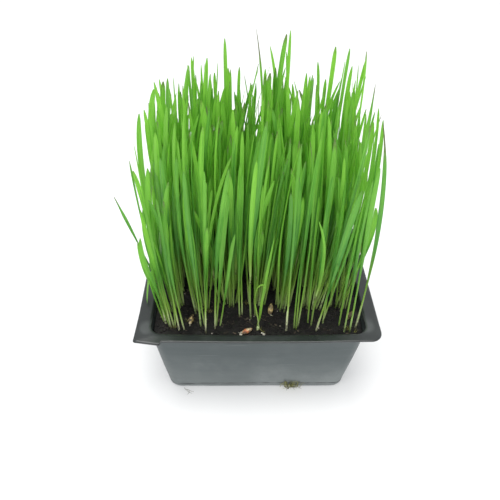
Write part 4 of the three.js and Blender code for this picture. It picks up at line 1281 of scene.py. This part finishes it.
def fibre_material(name, dark, pale):
    nodes = Shading(name)
    mottle = nodes.noise(900)
    share = nodes.maths("POWER", nodes.attribute("shade"), 2.2)
    share = nodes.plus(share, nodes.vary(mottle, -0.12, 0.12), clamp=True)
    colour = nodes.ramp(share, (0.0, dark), (1.0, pale))
    return nodes.finish(nodes.principled(colour, 0.8, nodes.bump(mottle, 0.0002, 0.6)))


def leaf_material():
    nodes = Shading("wheatgrass")
    along, across, tone, cool, dry, pale = map(nodes.attribute, LEAF_VALUES)
    tone_and_painted_light = nodes.plus(tone, nodes.vary(nodes.noise(60), -0.18, 0.18))
    # streaks that run along the leaf
    lie = nodes.node("CombineXYZ", {0: across, 1: along, 2: tone})
    streak = nodes.noise(1.0, 2.0, stretch=(3.2, 2.5, 40), place=lie)
    tone_and_painted_light = nodes.plus(tone_and_painted_light, nodes.vary(streak, -0.3, 0.3))
    # painted light and shade: brighter towards the tip, darker towards the stem, where the grass shades it
    tone_and_painted_light = nodes.plus(tone_and_painted_light, nodes.spread(along, 0.25, 0.85, -0.4, 0.57), clamp=True)
    colour = nodes.ramp(tone_and_painted_light, (0.0, LEAF_DARK), (0.45, LEAF_GREEN), (1.0, LEAF_BRIGHT))
    colour = nodes.tint(colour, LEAF_COOL, cool, 0.55)
    # paler and yellower towards the stem
    low = nodes.spread(along, 0.48, 0.16)
    colour = nodes.tint(colour, LEAF_LOW, low, nodes.spread(pale, 0, 1, 0.6, 0.95))
    # the veins, and the paler midrib
    vein = nodes.maths("SINE", nodes.times(across, 31.0))
    colour = nodes.tint(colour, LEAF_VEIN, nodes.spread(vein, -1, 1, 0.0, 0.22))
    rib = nodes.spread(nodes.maths("ABSOLUTE", across), 0.16, 0.0)
    colour = nodes.tint(colour, LEAF_VEIN, rib, 0.4)
    # the nearly white foot, with soil splashed on it
    foot = nodes.spread(along, 0.22, 0.08)
    colour = nodes.tint(colour, STEM_PALE, foot, nodes.spread(pale, 0, 1, 0.08, 1.0))
    splash = nodes.times(nodes.spread(nodes.noise(500), 0.42, 0.6), nodes.spread(along, 0.1, 0.06))
    colour = nodes.tint(colour, LEAF_SPLASH, splash, 0.75)
    # a dry tip
    edge = nodes.maths("SUBTRACT", 1.0, nodes.times(dry, 0.13))
    edge = nodes.plus(edge, nodes.vary(streak, -0.03, 0.03))
    steep = nodes.spread(dry, 0.5, 0.6, 26, 15)
    dried = nodes.times(nodes.maths("SUBTRACT", along, edge), steep, clamp=True)
    dried = nodes.times(dried, nodes.spread(dry, 0.0, 0.5, 0.3, 1.0))
    straw = nodes.ramp(nodes.noise(400, 2.0), (0.35, TIP_BROWN), (0.65, TIP_GREY))
    colour = nodes.tint(colour, straw, dried)
    height = nodes.plus(nodes.times(vein, 0.5), nodes.times(rib, -1.2))
    normal = nodes.bump(height, 0.00009, 0.7)
    gloss = nodes.vary(nodes.noise(150, 2.0), 0.34, 0.48)
    shader = nodes.principled(colour, gloss, normal, 0.35)
    # light that comes through the leaf
    glow = nodes.mix(0.5, colour, LEAF_THROUGH, "MULTIPLY")
    inner = nodes.node("BsdfTranslucent", {"Color": nodes.mix(0.55, colour, glow), "Normal": normal})
    return nodes.finish(nodes.node("MixShader", {0: LEAF_TRANSLUCENT, 1: shader, 2: inner}))


def kernel_material():
    nodes = Shading("wheat_husk")
    ripe, along, flush, dirt = map(nodes.attribute, KERNEL_VALUES)
    mottle = nodes.noise(700, 4.0, 0.6)
    streaks = nodes.noise(900, 2.0, stretch=(1, 1, 0.4))
    share = nodes.plus(nodes.times(ripe, 0.6), nodes.vary(mottle, -0.1, 0.4), clamp=True)
    colour = nodes.ramp(share, (0.0, KERNEL_PALE), (0.5, KERNEL_TAN), (1.0, KERNEL_BROWN))
    colour = nodes.tint(colour, KERNEL_STREAK, nodes.spread(streaks, 0.5, 0.75, 0, 0.3))
    colour = nodes.tint(colour, KERNEL_GERM, nodes.spread(along, -0.62, -0.95), 0.6)
    reddish = nodes.ramp(nodes.noise(260), (0.49, KERNEL_CREAM), (0.57, KERNEL_RED))
    colour = nodes.mix(nodes.times(flush, 0.72, clamp=True), colour, reddish)
    colour = nodes.mix(nodes.times(flush, -1.0, clamp=True), colour, KERNEL_ROOT)
    smear = nodes.spread(nodes.noise(420, 4.0, 0.65), 0.4, 0.52)
    colour = nodes.tint(colour, KERNEL_SMEAR, smear, dirt)
    return nodes.finish(nodes.principled(colour, 0.55, nodes.bump(mottle, 0.00025, 0.6)))


# ---- the whole ----

bpy.context.scene.view_settings.view_transform = "Standard"
add_camera()
add_stage()

compost = soil_material()
fibres = fibre_material("bark_and_fibre", linear(28, 24, 22), linear(88, 77, 62))
grit = fibre_material("pale_grit", linear(150, 142, 128), linear(222, 218, 206))
moss = fibre_material("dry_moss", linear(58, 60, 24), linear(160, 158, 84))
leaf = leaf_material()

add_tray(plastic_material())
add_soil(compost)
add_kernels(kernel_material())
feet = []
for index, node in enumerate(sorted(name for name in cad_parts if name.startswith("clump"))):
    feet += add_clump(node, leaf, index)
add_crumbs(compost, fibres, grit, feet)
add_seedling(leaf)
add_stray_leaf(leaf)
add_edge_shoots(leaf)
add_moss(moss)
add_wisps(moss)
